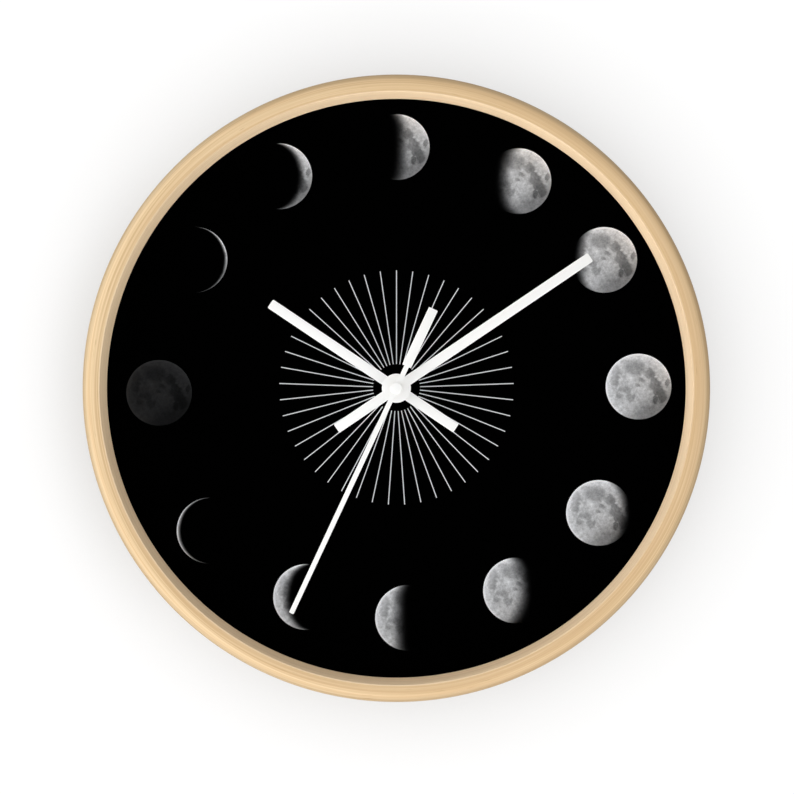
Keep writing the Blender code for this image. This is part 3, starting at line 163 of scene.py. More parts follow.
def colour(code):
    """Turns an sRGB hex colour such as #a0b0c0 to linear red, green, blue and alpha."""
    parts = [int(code[start:start + 2], 16) / 255 for start in (1, 3, 5)]
    linear = [part / 12.92 if part <= 0.04045 else ((part + 0.055) / 1.055) ** 2.4 for part in parts]
    return (*linear, 1.0)


def plug(tree, node, inputs):
    """Fills a node's sockets, by name or number, each with a value, a socket to link from, or a node whose
    first output is linked."""
    for key, value in inputs.items():
        if isinstance(value, bpy.types.Node):
            value = value.outputs[0]
        if isinstance(value, bpy.types.NodeSocket):
            tree.links.new(value, node.inputs[key])
        else:
            node.inputs[key].default_value = value
    return node


def add(tree, kind, inputs=None, **settings):
    """Adds a node to a tree. settings are its own properties, and inputs are its sockets."""
    node = tree.nodes.new(kind)
    for key, value in settings.items():
        setattr(node, key, value)
    return plug(tree, node, inputs or {})


MATH = "ShaderNodeMath"
VECTOR = "ShaderNodeVectorMath"
MAPPING = "ShaderNodeMapping"
RANGE = "ShaderNodeMapRange"
NOISE = "ShaderNodeTexNoise"
MIX = "ShaderNodeMix"
BUMP = "ShaderNodeBump"
COMBINE = "ShaderNodeCombineXYZ"
SEPARATE = "ShaderNodeSeparateXYZ"
# Socket numbers of a Mix node: for colours, and its two inputs for plain values
MIX_FACTOR, MIX_A, MIX_B, MIX_RESULT = 0, 6, 7, 2
VALUE_A, VALUE_B = 2, 3
SMOOTH = {"interpolation_type": "SMOOTHSTEP"}


def start_material(name):
    """A new material, its node tree and its Principled shader."""
    material = bpy.data.materials.new(name)
    material.use_nodes = True
    tree = material.node_tree
    return material, tree, tree.nodes["Principled BSDF"]


def in_millimetres(tree):
    """Object coordinates in millimetres, centred on the hands' axis at the wall: right, depth and up."""
    place = add(tree, "ShaderNodeTexCoord").outputs["Object"]
    inputs = {"Vector": place, "Location": (0.0, -WALL_Y, -AXIS_Z), "Scale": (1 / MM, 1 / MM, 1 / MM)}
    return add(tree, MAPPING, inputs)


def about_axis(tree, place):
    """How far a place is from the hands' axis, and how far right and up it lies, as shares of that."""
    flat = add(tree, VECTOR, {0: place, 1: (1.0, 0.0, 1.0)}, operation="MULTIPLY")
    away = add(tree, VECTOR, {0: flat}, operation="LENGTH").outputs["Value"]
    round_way = add(tree, VECTOR, {0: flat}, operation="NORMALIZE")
    rightward, _, upward = add(tree, SEPARATE, {"Vector": round_way}).outputs
    return away, rightward, upward


def finish(
    name, light, dark, rough, grain, pull=(1.0, 1.0, 1.0), cloud=9.0, depth=0.004, metallic=0.0, **fixed
):
    """A surface whose colour wanders between two shades and whose gloss wanders with it. cloud is the size in
    millimetres of its broad patches, grain that of its fine texture, pull stretches the grain along each way,
    and depth is how many millimetres deep the grain is. fixed are sockets that are the same all over."""
    material, tree, shader = start_material(name)
    place = in_millimetres(tree)
    broad = add(tree, NOISE, {"Vector": place, "Scale": 1 / cloud, "Detail": 3.0, "Roughness": 0.55})
    pulled = add(tree, MAPPING, {"Vector": place, "Scale": tuple(1 / (grain * share) for share in pull)})
    fine = add(tree, NOISE, {"Vector": pulled, "Scale": 1.0, "Detail": 4.0, "Roughness": 0.6})
    both = add(tree, MATH, {0: broad.outputs[0], 1: fine.outputs[0]}, operation="ADD")
    # Each noise lies about 0.5, so the two together lie about 1
    span = {"Value": both, "From Min": 0.7, "From Max": 1.3}
    blend = add(tree, RANGE, span)
    shade = add(tree, MIX, {MIX_FACTOR: blend, MIX_A: colour(light), MIX_B: colour(dark)}, data_type="RGBA")
    gloss = add(tree, RANGE, {**span, "To Min": rough[0], "To Max": rough[1]})
    bump = add(tree, BUMP, {"Height": fine.outputs[0], "Distance": depth * MM, "Strength": 1.0})
    varied = {"Base Color": shade.outputs[MIX_RESULT], "Roughness": gloss, "Normal": bump}
    plug(tree, shader, {**varied, "Metallic": metallic, **fixed})
    return material


def lacquered_beech():
    """Beech, steamed and bent round, turned smooth and sealed with satin lacquer. The eye sees long fine
    streaks that follow the ring, short dark ray flecks along them, and a soft sheen on the rounded edge."""
    material, tree, shader = start_material("lacquered_bent_beech")
    place = in_millimetres(tree)
    depth = add(tree, SEPARATE, {"Vector": place}).outputs[1]
    from_axis, rightward, upward = about_axis(tree, place)

    def streaks(across, deep, turns, detail, shift):
        """Noise whose features are across mm wide, deep mm deep and 1/turns radians long round the ring."""
        wide = add(tree, MATH, {0: from_axis, 1: 1 / across, 2: shift}, operation="MULTIPLY_ADD")
        low = add(tree, MATH, {0: depth, 1: 1 / deep, 2: shift}, operation="MULTIPLY_ADD")
        turn_x = add(tree, MATH, {0: rightward, 1: turns}, operation="MULTIPLY")
        turn_z = add(tree, MATH, {0: upward, 1: turns}, operation="MULTIPLY")
        where = add(tree, COMBINE, {0: wide, 1: low, 2: turn_x})
        inputs = {"Vector": where, "W": turn_z, "Scale": 1.0, "Detail": detail, "Roughness": 0.55}
        return add(tree, NOISE, inputs, noise_dimensions="4D").outputs[0]

    # Beech's pores are about 0.1 mm wide, too fine to show here, so the hair streaks are drawn 0.42 mm wide
    broad = streaks(3.0, 6.0, 1.0, 2.0, 3.0)
    fine = streaks(0.75, 1.2, 1.0, 2.0, 11.0)
    hair = streaks(0.42, 0.6, 2.0, 2.0, 23.0)
    fleck = streaks(0.5, 0.6, 15.0, 1.0, 37.0)
    # Tones laid over one another: what each follows, the two levels of that between which its share changes,
    # its share at each of them, and its colour
    tones = (
        (broad, 0.35, 0.65, 0.0, 1.0, "#dfc095"),
        # Painted light: the ring's left half is painted paler, as if it were lit more from the left
        (rightward, -1.0, 0.1, 0.85, 0.0, "#f0d5ac"),
        (fine, 0.44, 0.62, 0.0, 0.70, "#d4b187"),
        (hair, 0.44, 0.66, 0.0, 0.60, "#d0ae80"),
        (fleck, 0.70, 0.80, 0.0, 0.55, "#b0875a"),
        # Painted light: the inner wall is painted paler, so that it reads brighter, as if more lit
        (from_axis, HOOP_INNER_R + 0.05, HOOP_INNER_R + 0.3, 0.30, 0.0, "#f2dfc6"),
    )
    tone = colour("#e7cba3")
    for value, first, last, at_first, at_last, code in tones:
        levels = {"From Min": first, "From Max": last, "To Min": at_first, "To Max": at_last}
        share = add(tree, RANGE, {"Value": value, **levels})
        mixed = add(tree, MIX, {MIX_FACTOR: share, MIX_A: tone, MIX_B: colour(code)}, data_type="RGBA")
        tone = mixed.outputs[MIX_RESULT]
    # Painted shade: the rounded outer edge is painted darker, less so down the side
    outward = add(tree, RANGE, {"Value": from_axis, "From Min": 123.8, "From Max": 126.4, "To Max": 0.42})
    levels = {"From Min": -36.0, "From Max": -31.0, "To Min": 1.0, "To Max": 0.45}
    forward = add(tree, RANGE, {"Value": depth, **levels})
    painted_edge_shade = add(tree, MATH, {0: outward, 1: forward}, operation="MULTIPLY")
    unshaded_share = add(tree, MATH, {0: 1.0, 1: painted_edge_shade}, operation="SUBTRACT")
    edge_shaded_tone = add(tree, VECTOR, {0: tone, 1: unshaded_share}, operation="MULTIPLY")
    levels = {"From Min": 0.3, "From Max": 0.7, "To Min": 0.44, "To Max": 0.54}
    gloss = add(tree, RANGE, {"Value": fine, **levels})
    bump = add(tree, BUMP, {"Height": hair, "Distance": 0.01 * MM, "Strength": 1.0})
    varied = {"Base Color": edge_shaded_tone, "Roughness": gloss, "Normal": bump}
    plug(tree, shader, {**varied, "IOR": 1.45, "Specular IOR Level": 0.07})
    return material


def clear_acrylic():
    """Cast acrylic, polished. It is drawn as a thin dark gloss that is fully see-through head on and shines
    only at a slant, so the black print behind it stays black."""
    material, tree, shader = start_material("polished_cast_acrylic")
    place = in_millimetres(tree)
    slant = add(tree, "ShaderNodeLayerWeight", {"Blend": 0.5}).outputs["Facing"]
    seen = add(tree, RANGE, {"Value": slant, "From Min": 0.30, "From Max": 1.0, "To Max": 0.55})
    smear = add(tree, NOISE, {"Vector": place, "Scale": 0.03, "Detail": 3.0})
    levels = {"From Min": 0.3, "From Max": 0.7, "To Min": 0.02, "To Max": 0.05}
    gloss = add(tree, RANGE, {"Value": smear, **levels})
    plug(tree, shader, {"Base Color": colour("#0a0b0b"), "Alpha": seen, "Roughness": gloss, "IOR": 1.49})
    return material


def printed_dial():
    """Matt art paper, printed black, with the burst of rays and the moons left in white and greys. The ink
    gives a deep even black, and the moons have soft shadows across their plains."""
    material, tree, shader = start_material("printed_matt_paper")
    place = in_millimetres(tree)
    across, _, up = add(tree, SEPARATE, {"Vector": place}).outputs
    page = add(tree, COMBINE, {0: across, 1: up})
    burst_page = add(tree, MAPPING, {"Vector": page, "Location": (-BURST_RIGHT, -BURST_UP, 0.0)})
    from_middle = add(tree, VECTOR, {0: burst_page}, operation="LENGTH").outputs["Value"]
    burst_across, burst_up, _ = add(tree, SEPARATE, {"Vector": burst_page}).outputs

    # Burst: the angle is folded into one ray's share of the turn, and that angle times the distance from the
    # burst's middle is the distance sideways from the middle of the ray
    angle = add(tree, MATH, {0: burst_across, 1: burst_up}, operation="ARCTAN2")
    rays = add(tree, MATH, {0: angle, 1: RAY_COUNT / math.tau, 2: 0.5}, operation="MULTIPLY_ADD")
    ray_part = add(tree, MATH, {0: rays}, operation="FRACT")
    folded = add(tree, MATH, {0: ray_part, 1: 0.5}, operation="SUBTRACT")
    swing = add(tree, MATH, {0: folded, 1: math.tau / RAY_COUNT}, operation="MULTIPLY")
    offset = add(tree, MATH, {0: swing, 1: from_middle}, operation="MULTIPLY")
    sideways = add(tree, MATH, {0: offset}, operation="ABSOLUTE")
    # The edges of a ray: what each is measured by, where it lies, and how much shows before and after it
    burst = 1.0
    for value, edge, before, after in (
        (from_middle, RAY_INNER_R, 0.0, 1.0),
        (from_middle, RAY_OUTER_R, 1.0, 0.0),
        (sideways, RAY_HALF_WIDTH, 1.0, 0.0),
    ):
        span = {"From Min": edge - INK_BLEED, "From Max": edge + INK_BLEED}
        shows = add(tree, RANGE, {"Value": value, **span, "To Min": before, "To Max": after})
        burst = add(tree, MATH, {0: burst, 1: shows}, operation="MULTIPLY")

    # Moons: each adds its own disc coordinates and its phase where the point is inside its disc
    disc, edges, fades = (0.0, 0.0, 0.0), (0.0, 0.0, 0.0), (0.0, 0.0, 0.0)
    scale = 1 / MOON_R
    for distance, degrees, side, edge, shift, width, power in MOONS:
        turn = math.radians(degrees)
        back = (-distance * math.sin(turn) * scale, -distance * math.cos(turn) * scale, 0.0)
        local = add(tree, MAPPING, {"Vector": page, "Location": back, "Scale": (scale, scale, scale)})
        away = add(tree, VECTOR, {0: local}, operation="LENGTH").outputs["Value"]
        here = add(tree, MATH, {0: away, 1: 1.0}, operation="LESS_THAN")
        disc = add(tree, VECTOR, {0: local, 1: here, 2: disc}, operation="MULTIPLY_ADD")
        edges = add(tree, VECTOR, {0: (side, edge, shift), 1: here, 2: edges}, operation="MULTIPLY_ADD")
        fades = add(tree, VECTOR, {0: (width, power, 1.0), 1: here, 2: fades}, operation="MULTIPLY_ADD")
    disc_across, disc_up, _ = add(tree, SEPARATE, {"Vector": disc}).outputs
    side, edge, shift = add(tree, SEPARATE, {"Vector": edges}).outputs
    width, power, is_moon = add(tree, SEPARATE, {"Vector": fades}).outputs
    disc_r = add(tree, VECTOR, {0: disc}, operation="LENGTH").outputs["Value"]

    # Lit share: how far a point lies past the shadow's edge, which is an ellipse through both poles, shifted
    up_squared = add(tree, MATH, {0: disc_up, 1: disc_up}, operation="MULTIPLY")
    chord_squared = add(tree, MATH, {0: 1.0, 1: up_squared}, operation="SUBTRACT")
    chord = add(tree, MATH, {0: chord_squared}, operation="SQRT")
    past = add(tree, MATH, {0: disc_across, 1: side}, operation="MULTIPLY")
    shadow = add(tree, MATH, {0: chord, 1: edge, 2: shift}, operation="MULTIPLY_ADD")
    over = add(tree, MATH, {0: past, 1: shadow}, operation="SUBTRACT")
    share = add(tree, MATH, {0: over, 1: width}, operation="DIVIDE")
    ramp = add(tree, RANGE, {"Value": share, "From Min": -0.5, "From Max": 0.5}, **SMOOTH)
    lit = add(tree, MATH, {0: ramp, 1: power}, operation="POWER")

    # Face: soft ovals with ragged shores for the plains, splashes for the craters
    wander = 0.34  # how far the shores stray, in radii
    melt = 0.3  # how softly neighbouring ovals join
    turned = add(tree, MAPPING, {"Vector": disc, "Rotation": (0.0, 0.0, math.radians(FACE_TURN))})
    shore = add(tree, NOISE, {"Vector": turned, "Scale": 4.2, "Detail": 6.0, "Roughness": 0.72})
    stray = add(tree, VECTOR, {0: shore.outputs["Color"], 1: (0.5, 0.5, 0.5)}, operation="SUBTRACT")
    ragged = add(tree, VECTOR, {0: stray, 1: (wander, wander, 0.0), 2: turned}, operation="MULTIPLY_ADD")

    def away_from(right, top, half_width, half_height):
        """How far off an oval's middle is, which is 1 on its edge."""
        spread = (1 / half_width, 1 / half_height, 0.0)
        shifted = (-right / half_width, -top / half_height, 0.0)
        oval = add(tree, MAPPING, {"Vector": ragged, "Location": shifted, "Scale": spread})
        return add(tree, VECTOR, {0: oval}, operation="LENGTH").outputs["Value"]

    nearest = 9.0  # farther than any point is from an oval
    for oval in PLAINS:
        nearest = add(tree, MATH, {0: away_from(*oval), 1: nearest, 2: melt}, operation="SMOOTH_MIN")
    levels = {"From Min": 0.70, "From Max": 1.30, "To Min": 1.0, "To Max": 0.0}
    plain = add(tree, RANGE, {"Value": nearest, **levels}, **SMOOTH)
    glow = 0.0
    for right, top, reach, gain in SPLASHES:
        away = away_from(right, top, reach, reach)
        near = add(tree, RANGE, {"Value": away, "From Max": 1.0, "To Min": gain, "To Max": 0.0})
        glow = add(tree, MATH, {0: near, 1: glow}, operation="ADD")

    pits = add(tree, NOISE, {"Vector": turned, "Scale": 8.0, "Detail": 8.0, "Roughness": 0.8})
    levels = {"From Min": 0.32, "From Max": 0.68, "To Min": 0.34, "To Max": 0.90}
    ground = add(tree, RANGE, {"Value": pits, **levels})
    # The plains are darker towards the right of the face
    across_face = add(tree, SEPARATE, {"Vector": turned}).outputs[0]
    levels = {"From Min": -0.3, "From Max": 0.7, "To Min": 0.70, "To Max": 0.36}
    deepest = add(tree, RANGE, {"Value": across_face, **levels})
    bare = add(tree, MATH, {0: 1.0, 1: plain}, operation="SUBTRACT")
    plain_depth = add(tree, MATH, {0: plain, 1: deepest, 2: bare}, operation="MULTIPLY_ADD")
    # Each disc is shaded towards its lower right, and its rim is lit, most at the upper left
    low_right = add(tree, VECTOR, {0: disc, 1: (0.55, -0.83, 0.0)}, operation="DOT_PRODUCT").outputs["Value"]
    levels = {"From Min": 0.15, "From Max": 0.90, "To Min": 1.0, "To Max": 0.34}
    shade = add(tree, RANGE, {"Value": low_right, **levels}, **SMOOTH)
    rim_side = add(tree, VECTOR, {0: disc, 1: (-0.50, 0.70, 0.0)}, operation="DOT_PRODUCT").outputs["Value"]
    levels = {"From Min": -0.8, "From Max": 0.5, "To Min": 0.12, "To Max": 1.0}
    rim_share = add(tree, RANGE, {"Value": rim_side, **levels})
    limb = add(tree, RANGE, {"Value": disc_r, "From Min": 0.66, "From Max": 1.0, "To Max": 0.30}, **SMOOTH)
    rim = add(tree, RANGE, {"Value": disc_r, "From Min": 0.92, "From Max": 0.975, "To Max": 0.22}, **SMOOTH)
    rims = add(tree, MATH, {0: rim, 1: limb}, operation="ADD")
    edge_light = add(tree, MATH, {0: rims, 1: rim_share}, operation="MULTIPLY")
    face = add(tree, MATH, {0: ground, 1: glow}, operation="ADD")
    face = add(tree, MATH, {0: face, 1: plain_depth}, operation="MULTIPLY")
    face = add(tree, MATH, {0: face, 1: shade, 2: edge_light}, operation="MULTIPLY_ADD")
    sunlit = add(tree, MATH, {0: face, 1: lit}, operation="MULTIPLY")

    # The new moon alone is printed as a dim whole disc
    dim_gain, dim_floor = 0.033, 0.0015
    is_new = add(tree, MATH, {0: shift, 1: NEW_MARK}, operation="GREATER_THAN")
    dim_face = add(tree, MATH, {0: face, 1: dim_gain, 2: dim_floor}, operation="MULTIPLY_ADD")
    dim = add(tree, MATH, {0: dim_face, 1: is_new}, operation="MULTIPLY")
    shown = add(tree, MATH, {0: sunlit, 1: dim}, operation="ADD")
    moon = add(tree, MATH, {0: shown, 1: is_moon}, operation="MULTIPLY")

    ink = add(tree, NOISE, {"Vector": place, "Scale": 0.9, "Detail": 4.0})
    span = {"Value": ink, "From Min": 0.3, "From Max": 0.7}
    black = add(tree, RANGE, {**span, "To Min": 0.0002, "To Max": 0.0005})
    white = add(tree, RANGE, {**span, "To Min": 0.90, "To Max": 0.96})
    printed = add(tree, MATH, {0: burst, 1: white, 2: moon}, operation="MULTIPLY_ADD")
    tone = add(tree, MATH, {0: printed, 1: black}, operation="ADD")
    # The ink leans to blue a little, which cancels the warm light that the wood throws on it
    tint = add(tree, VECTOR, {0: tone, 1: (0.985, 1.0, 1.03)}, operation="MULTIPLY")
    rough = add(tree, RANGE, {"Value": ink, "To Min": 0.75, "To Max": 0.95})
    plug(tree, shader, {"Base Color": tint, "Roughness": rough, "Specular IOR Level": 0.0})
    return material


def wound_copper():
    """Enamelled copper wire, wound on in close layers. The eye sees fine bright turns across the coil,
    which are drawn about 0.2 mm apart because the real wire is too fine to show."""
    material, tree, shader = start_material("enamelled_copper_winding")
    place = in_millimetres(tree)
    inputs = {"Vector": place, "Scale": 1.6, "Distortion": 0.6, "Detail": 1.0}
    turns = add(tree, "ShaderNodeTexWave", inputs).outputs["Fac"]
    inputs = {MIX_FACTOR: turns, MIX_A: colour("#8e4a22"), MIX_B: colour("#d98a52")}
    shade = add(tree, MIX, inputs, data_type="RGBA").outputs[MIX_RESULT]
    bump = add(tree, BUMP, {"Height": turns, "Distance": 0.04 * MM, "Strength": 1.0})
    plug(tree, shader, {"Base Color": shade, "Normal": bump, "Metallic": 1.0, "Roughness": 0.32})
    return material


def green_circuit():
    """Glass laminate under green solder resist. The eye sees the woven glass faintly and the copper tracks as
    paler green bands under the resist."""
    material, tree, shader = start_material("green_circuit_laminate")
    place = in_millimetres(tree)
    inputs = {"Vector": place, "Scale": 0.45}
    blocks = add(tree, "ShaderNodeTexVoronoi", inputs, distance="CHEBYCHEV", feature="F1")
    track = add(tree, RANGE, {"Value": blocks.outputs["Distance"], "From Min": 0.44, "From Max": 0.50})
    weave = add(tree, NOISE, {"Vector": place, "Scale": 6.0, "Detail": 3.0})
    inputs = {MIX_FACTOR: track, MIX_A: colour("#1d5a2b"), MIX_B: colour("#2f7a3c")}
    shade = add(tree, MIX, inputs, data_type="RGBA").outputs[MIX_RESULT]
    gloss = add(tree, RANGE, {"Value": weave.outputs[0], "To Min": 0.25, "To Max": 0.45})
    bump = add(tree, BUMP, {"Height": track, "Distance": 0.03 * MM, "Strength": 1.0})
    plug(tree, shader, {"Base Color": shade, "Roughness": gloss, "Normal": bump})
    return material


# Finishes by slot. Pebble, rolling grain, tool rings and orange peel are mostly under 0.1 mm in the real
# materials, too fine to show, so the grains are drawn from 0.12 to 1.2 mm
MATERIALS = {
    "wood": lacquered_beech(),
    "acrylic": clear_acrylic(),
    "dial_print": printed_dial(),
    # Medium density fibreboard, pressed and sanded: short pale and dark fibres and patches, dull all over
    "fibreboard": finish(
        "raw_fibreboard", "#c2a47a", "#a4855c", (0.82, 0.95), 0.55, pull=(2.5, 1, 1), cloud=4.0, depth=0.02
    ),
    # Bright zinc on cold rolled steel: cool grey with a faint rolled grain and cloudy spots of plating
    "zinc_steel": finish(
        "zinc_plated_steel", "#c9cbcc", "#a3a6aa", (0.26, 0.44), 0.25, (1, 1, 8), depth=0.002, metallic=1.0
    ),
    # Moulded nitrile rubber: dull black with a fine bloom
    "black_rubber": finish("moulded_rubber", "#1c1c1d", "#131314", (0.7, 0.85), 0.3, depth=0.008),
    # Turned brass: warm, with fine rings from the tool
    "brass": finish("turned_brass", "#d9b56a", "#b98f45", (0.18, 0.34), 0.12, pull=(6, 1, 6), metallic=1.0),
    # Injection moulded ABS from a spark-eroded tool: near black, evenly pebbled, half matt
    "black_abs": finish("moulded_black_abs", "#202022", "#18181a", (0.42, 0.58), 0.28, depth=0.014, IOR=1.53),
    # Moulded natural acetal: milky white, waxy and slightly see-through at thin edges
    "natural_acetal": finish(
        "moulded_natural_acetal", "#efece2", "#e2ddd0", (0.28, 0.40), 0.6, depth=0.003, IOR=1.48,
        **{"Subsurface Weight": 0.15, "Subsurface Scale": 0.8 * MM}
    ),
    # Moulded red acetal: the rotor's leaves, waxy red
    "red_acetal": finish(
        "moulded_red_acetal", "#b02a1c", "#8f1f14", (0.28, 0.40), 0.6, depth=0.003, IOR=1.48
    ),
    # Matt white enamel sprayed on stamped aluminium: even white with a faint orange peel
    "white_paint": finish(
        "matt_white_enamel", "#fbfbfa", "#f8f8f6", (0.55, 0.68), 0.45, cloud=14.0, depth=0.0015, IOR=1.5
    ),
    # Nickel plate on drawn steel: warm grey, bright, with drawing lines
    "nickel_steel": finish(
        "nickel_plated_steel", "#d2cec5", "#b5b0a6", (0.14, 0.28), 0.2, pull=(1, 8, 1), metallic=1.0
    ),
    # Annealed electrical iron: dull blue grey from the furnace
    "electrical_iron": finish("annealed_iron", "#8b8e93", "#6f7278", (0.42, 0.58), 0.4, metallic=1.0),
    "copper_wire": wound_copper(),
    # Nickel plated sintered magnet: bright over a slightly pitted body
    "plated_magnet": finish(
        "plated_sintered_magnet", "#a9abb0", "#8f9196", (0.2, 0.36), 0.3, depth=0.01, metallic=1.0
    ),
    "circuit_laminate": green_circuit(),
    # Printed plastic sleeve shrunk on the cell: plain charcoal, glossy, faintly rippled
    "cell_sleeve": finish("printed_cell_sleeve", "#34363a", "#2b2d31", (0.2, 0.3), 1.2, depth=0.004, IOR=1.5),
}
SLOT_OF = {row["node"]: row["material_slot"] for row in frame["record"]["subparts"]}
BODY_OF = {node: body for body, nodes in frame["record"]["behaviour"]["bodies"].items() for node in nodes}


def to_frame(points):
    """Drawing millimetres (right, up, height) to the frame's metres: right stays, the depth is the wall's
    less the height, and up is taken from the axis."""
    points = np.asarray(points, float)
    return np.stack([points[..., 0], WALL_Y - points[..., 2], points[..., 1] + AXIS_Z], axis=-1) * MM


def keep(piece, body, slot, replaced=()):
    """Gives a piece its slot's finish and its body, and hides the CAD nodes that it stands for."""
    piece.data.materials.clear()
    piece.data.materials.append(MATERIALS[slot])
    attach(piece, body)
    if replaced:
        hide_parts(*replaced)
    return piece


def new_object(name, data):
    """An object in the scene that holds a mesh, lamp or camera."""
    holder = bpy.data.objects.new(name, data)
    bpy.context.scene.collection.objects.link(holder)
    return holder


def smooth_piece(name, mesh):
    """A new piece with a mesh that is shaded smooth but for its sharp edges."""
    mesh.polygons.foreach_set("use_smooth", np.ones(len(mesh.polygons), bool))
    mesh.set_sharp_from_angle(angle=math.radians(SHARP_ANGLE))
    return new_object(name, mesh)


def skin(name, rings, body, slot, replaced=(), loop=True):
    """Joins a grid of points into a closed surface. Each row of the grid closes on itself. With loop, the
    last row joins the first; without, the first and last rows are each closed by one flat face."""
    points = to_frame(rings)
    rows, steps = points.shape[:2]
    number = np.arange(rows * steps).reshape(rows, steps)
    here = number if loop else number[:-1]
    after = np.roll(number, -1, axis=0) if loop else number[1:]
    corners = [here, np.roll(here, -1, 1), np.roll(after, -1, 1), after]
    faces = np.stack(corners, axis=-1).reshape(-1, 4).tolist()
    if not loop:
        faces += [number[0, ::-1].tolist(), number[-1].tolist()]
    mesh = bpy.data.meshes.new(name)
    mesh.from_pydata(points.reshape(-1, 3), [], faces)
    shell = bmesh.new()
    shell.from_mesh(mesh)
    bmesh.ops.recalc_face_normals(shell, faces=shell.faces)
    shell.to_mesh(mesh)
    shell.free()
    return keep(smooth_piece(name, mesh), body, slot, replaced)


def filleted(corners, radii, steps=6, loop=True):
    """A path whose corners are arcs: an arc of radius r starts r / tan(half the corner's angle) before the
    corner, and its centre lies r / sin(half the angle) along the corner's bisector."""
    corners = np.asarray(corners, float)
    count = len(corners)
    path = []
    for number, radius in enumerate(radii):
        at = corners[number]
        if radius == 0 or (not loop and number in (0, count - 1)):
            path.append(at[None])
            continue
        back = corners[number - 1] - at
        ahead = corners[(number + 1) % count] - at
        back /= np.linalg.norm(back)
        ahead /= np.linalg.norm(ahead)
        half = math.acos(np.clip(back @ ahead, -1, 1)) / 2
        middle = at + (back + ahead) / np.linalg.norm(back + ahead) * radius / math.sin(half)
        ends = at + np.stack([back, ahead]) * radius / math.tan(half) - middle
        first, last = np.arctan2(ends[:, 1], ends[:, 0])
        sweep = (last - first + math.pi) % math.tau - math.pi
        angles = first + sweep * np.linspace(0, 1, steps + 1)
        path.append(middle + radius * np.stack([np.cos(angles), np.sin(angles)], axis=-1))
    return np.concatenate(path)


def around(profile, steps):
    """Carries a profile of (radius, height) round the axis: at angle t a point is at radius * (cos t, sin t)
    and at its height."""
    turn = np.linspace(0, math.tau, steps, endpoint=False)
    radius = profile[:, :1]
    height = np.repeat(profile[:, 1:], steps, axis=1)
    return np.stack([radius * np.cos(turn), radius * np.sin(turn), height], axis=-1)


def inset(outline, distance):
    """Moves each side of a closed outline inwards by a distance: a point moves by the sum of its two sides'
    normals over one plus their dot product."""
    least = 0.3  # holds back a point at a very sharp corner
    ahead = np.roll(outline, -1, 0) - outline
    ahead /= np.linalg.norm(ahead, axis=1, keepdims=True)
    normal = np.stack([-ahead[:, 1], ahead[:, 0]], axis=-1)
    before = np.roll(normal, 1, 0)
    lean = 1 + (normal * before).sum(1, keepdims=True)
    return outline + distance * (normal + before) / np.maximum(lean, least)


def level(outline, height):
    """An outline laid flat at one height."""
    return np.column_stack([outline, np.full(len(outline), height)])


def turned_by(points, degrees):
    """Turns drawing points clockwise as the dial is read."""
    turn = math.radians(degrees)
    right = points[..., 0] * math.cos(turn) + points[..., 1] * math.sin(turn)
    up = points[..., 1] * math.cos(turn) - points[..., 0] * math.sin(turn)
    return np.stack([right, up, points[..., 2]], axis=-1)


def rim_of(outline, low, high, edge, steps=4):
    """The side of a plate from low to high, its lower and upper edges rounded on a quarter circle."""
    turn = np.linspace(0, math.pi / 2, steps + 1)
    lower = [level(inset(outline, edge * (1 - math.sin(t))), low + edge * (1 - math.cos(t))) for t in turn]
    upper = [level(inset(outline, edge * (1 - math.cos(t))), high - edge * (1 - math.sin(t))) for t in turn]
    return lower + upper


def hub_sides(half, radius, steps):
    """The left and right arcs of a round hub, which start and end where its bar's sides meet it."""
    meet = math.degrees(math.acos(half / radius))
    ends = ((180 - meet, 180 + meet), (-meet, meet))
    turns = [np.radians(np.linspace(first, last, steps + 1)) for first, last in ends]
    return [radius * np.stack([np.cos(turn), np.sin(turn)], axis=-1) for turn in turns]


def bar_end(half, reach, rounding):
    """One end of a bar that is centred on the axis, its two corners rounded: the upper end, or with a reach
    below zero the lower end."""
    side = math.copysign(half, reach)
    corners = [(side, 0), (side, reach), (-side, reach), (-side, 0)]
    return filleted(corners, (0, rounding, rounding, 0), loop=False)[1:-1]


def build_hoop():
    """The bent ring: a profile with an oval rounding at its outer front edge, a crisp inner arris and a
    rebate behind the face. For t from 0 to 90 degrees the rounding is at radius R - wide (1 - cos t) and at
    height depth - deep (1 - sin t)."""
    corners = [
        (REBATE_R, 0.0),
        (HOOP_OUTER_R - BACK_CHAMFER, 0.0),
        (HOOP_OUTER_R, BACK_CHAMFER),
        (HOOP_OUTER_R, HOOP_DEPTH),
        (HOOP_MOUTH_R, HOOP_DEPTH),
        (HOOP_INNER_R, SHOULDER),
        (REBATE_R, SHOULDER),
    ]
    radii = (EDGE_ROUND, EDGE_ROUND, EDGE_ROUND, 0, ARRIS_ROUND, REBATE_ROUND, REBATE_ROUND)
    profile = filleted(corners, radii, steps=12)
    corner = np.argmin(np.linalg.norm(profile - (HOOP_OUTER_R, HOOP_DEPTH), axis=1))
    turn = np.linspace(0, math.pi / 2, 17)
    radius = HOOP_OUTER_R - ROUND_WIDE * (1 - np.cos(turn))
    height = HOOP_DEPTH - ROUND_DEEP * (1 - np.sin(turn))
    rounding = np.stack([radius, height], axis=-1)
    profile = np.concatenate([profile[:corner], rounding, profile[corner + 1:]])
    return skin("hoop_wood", around(profile, 360), "frame", "wood", ("hoop_frame",))


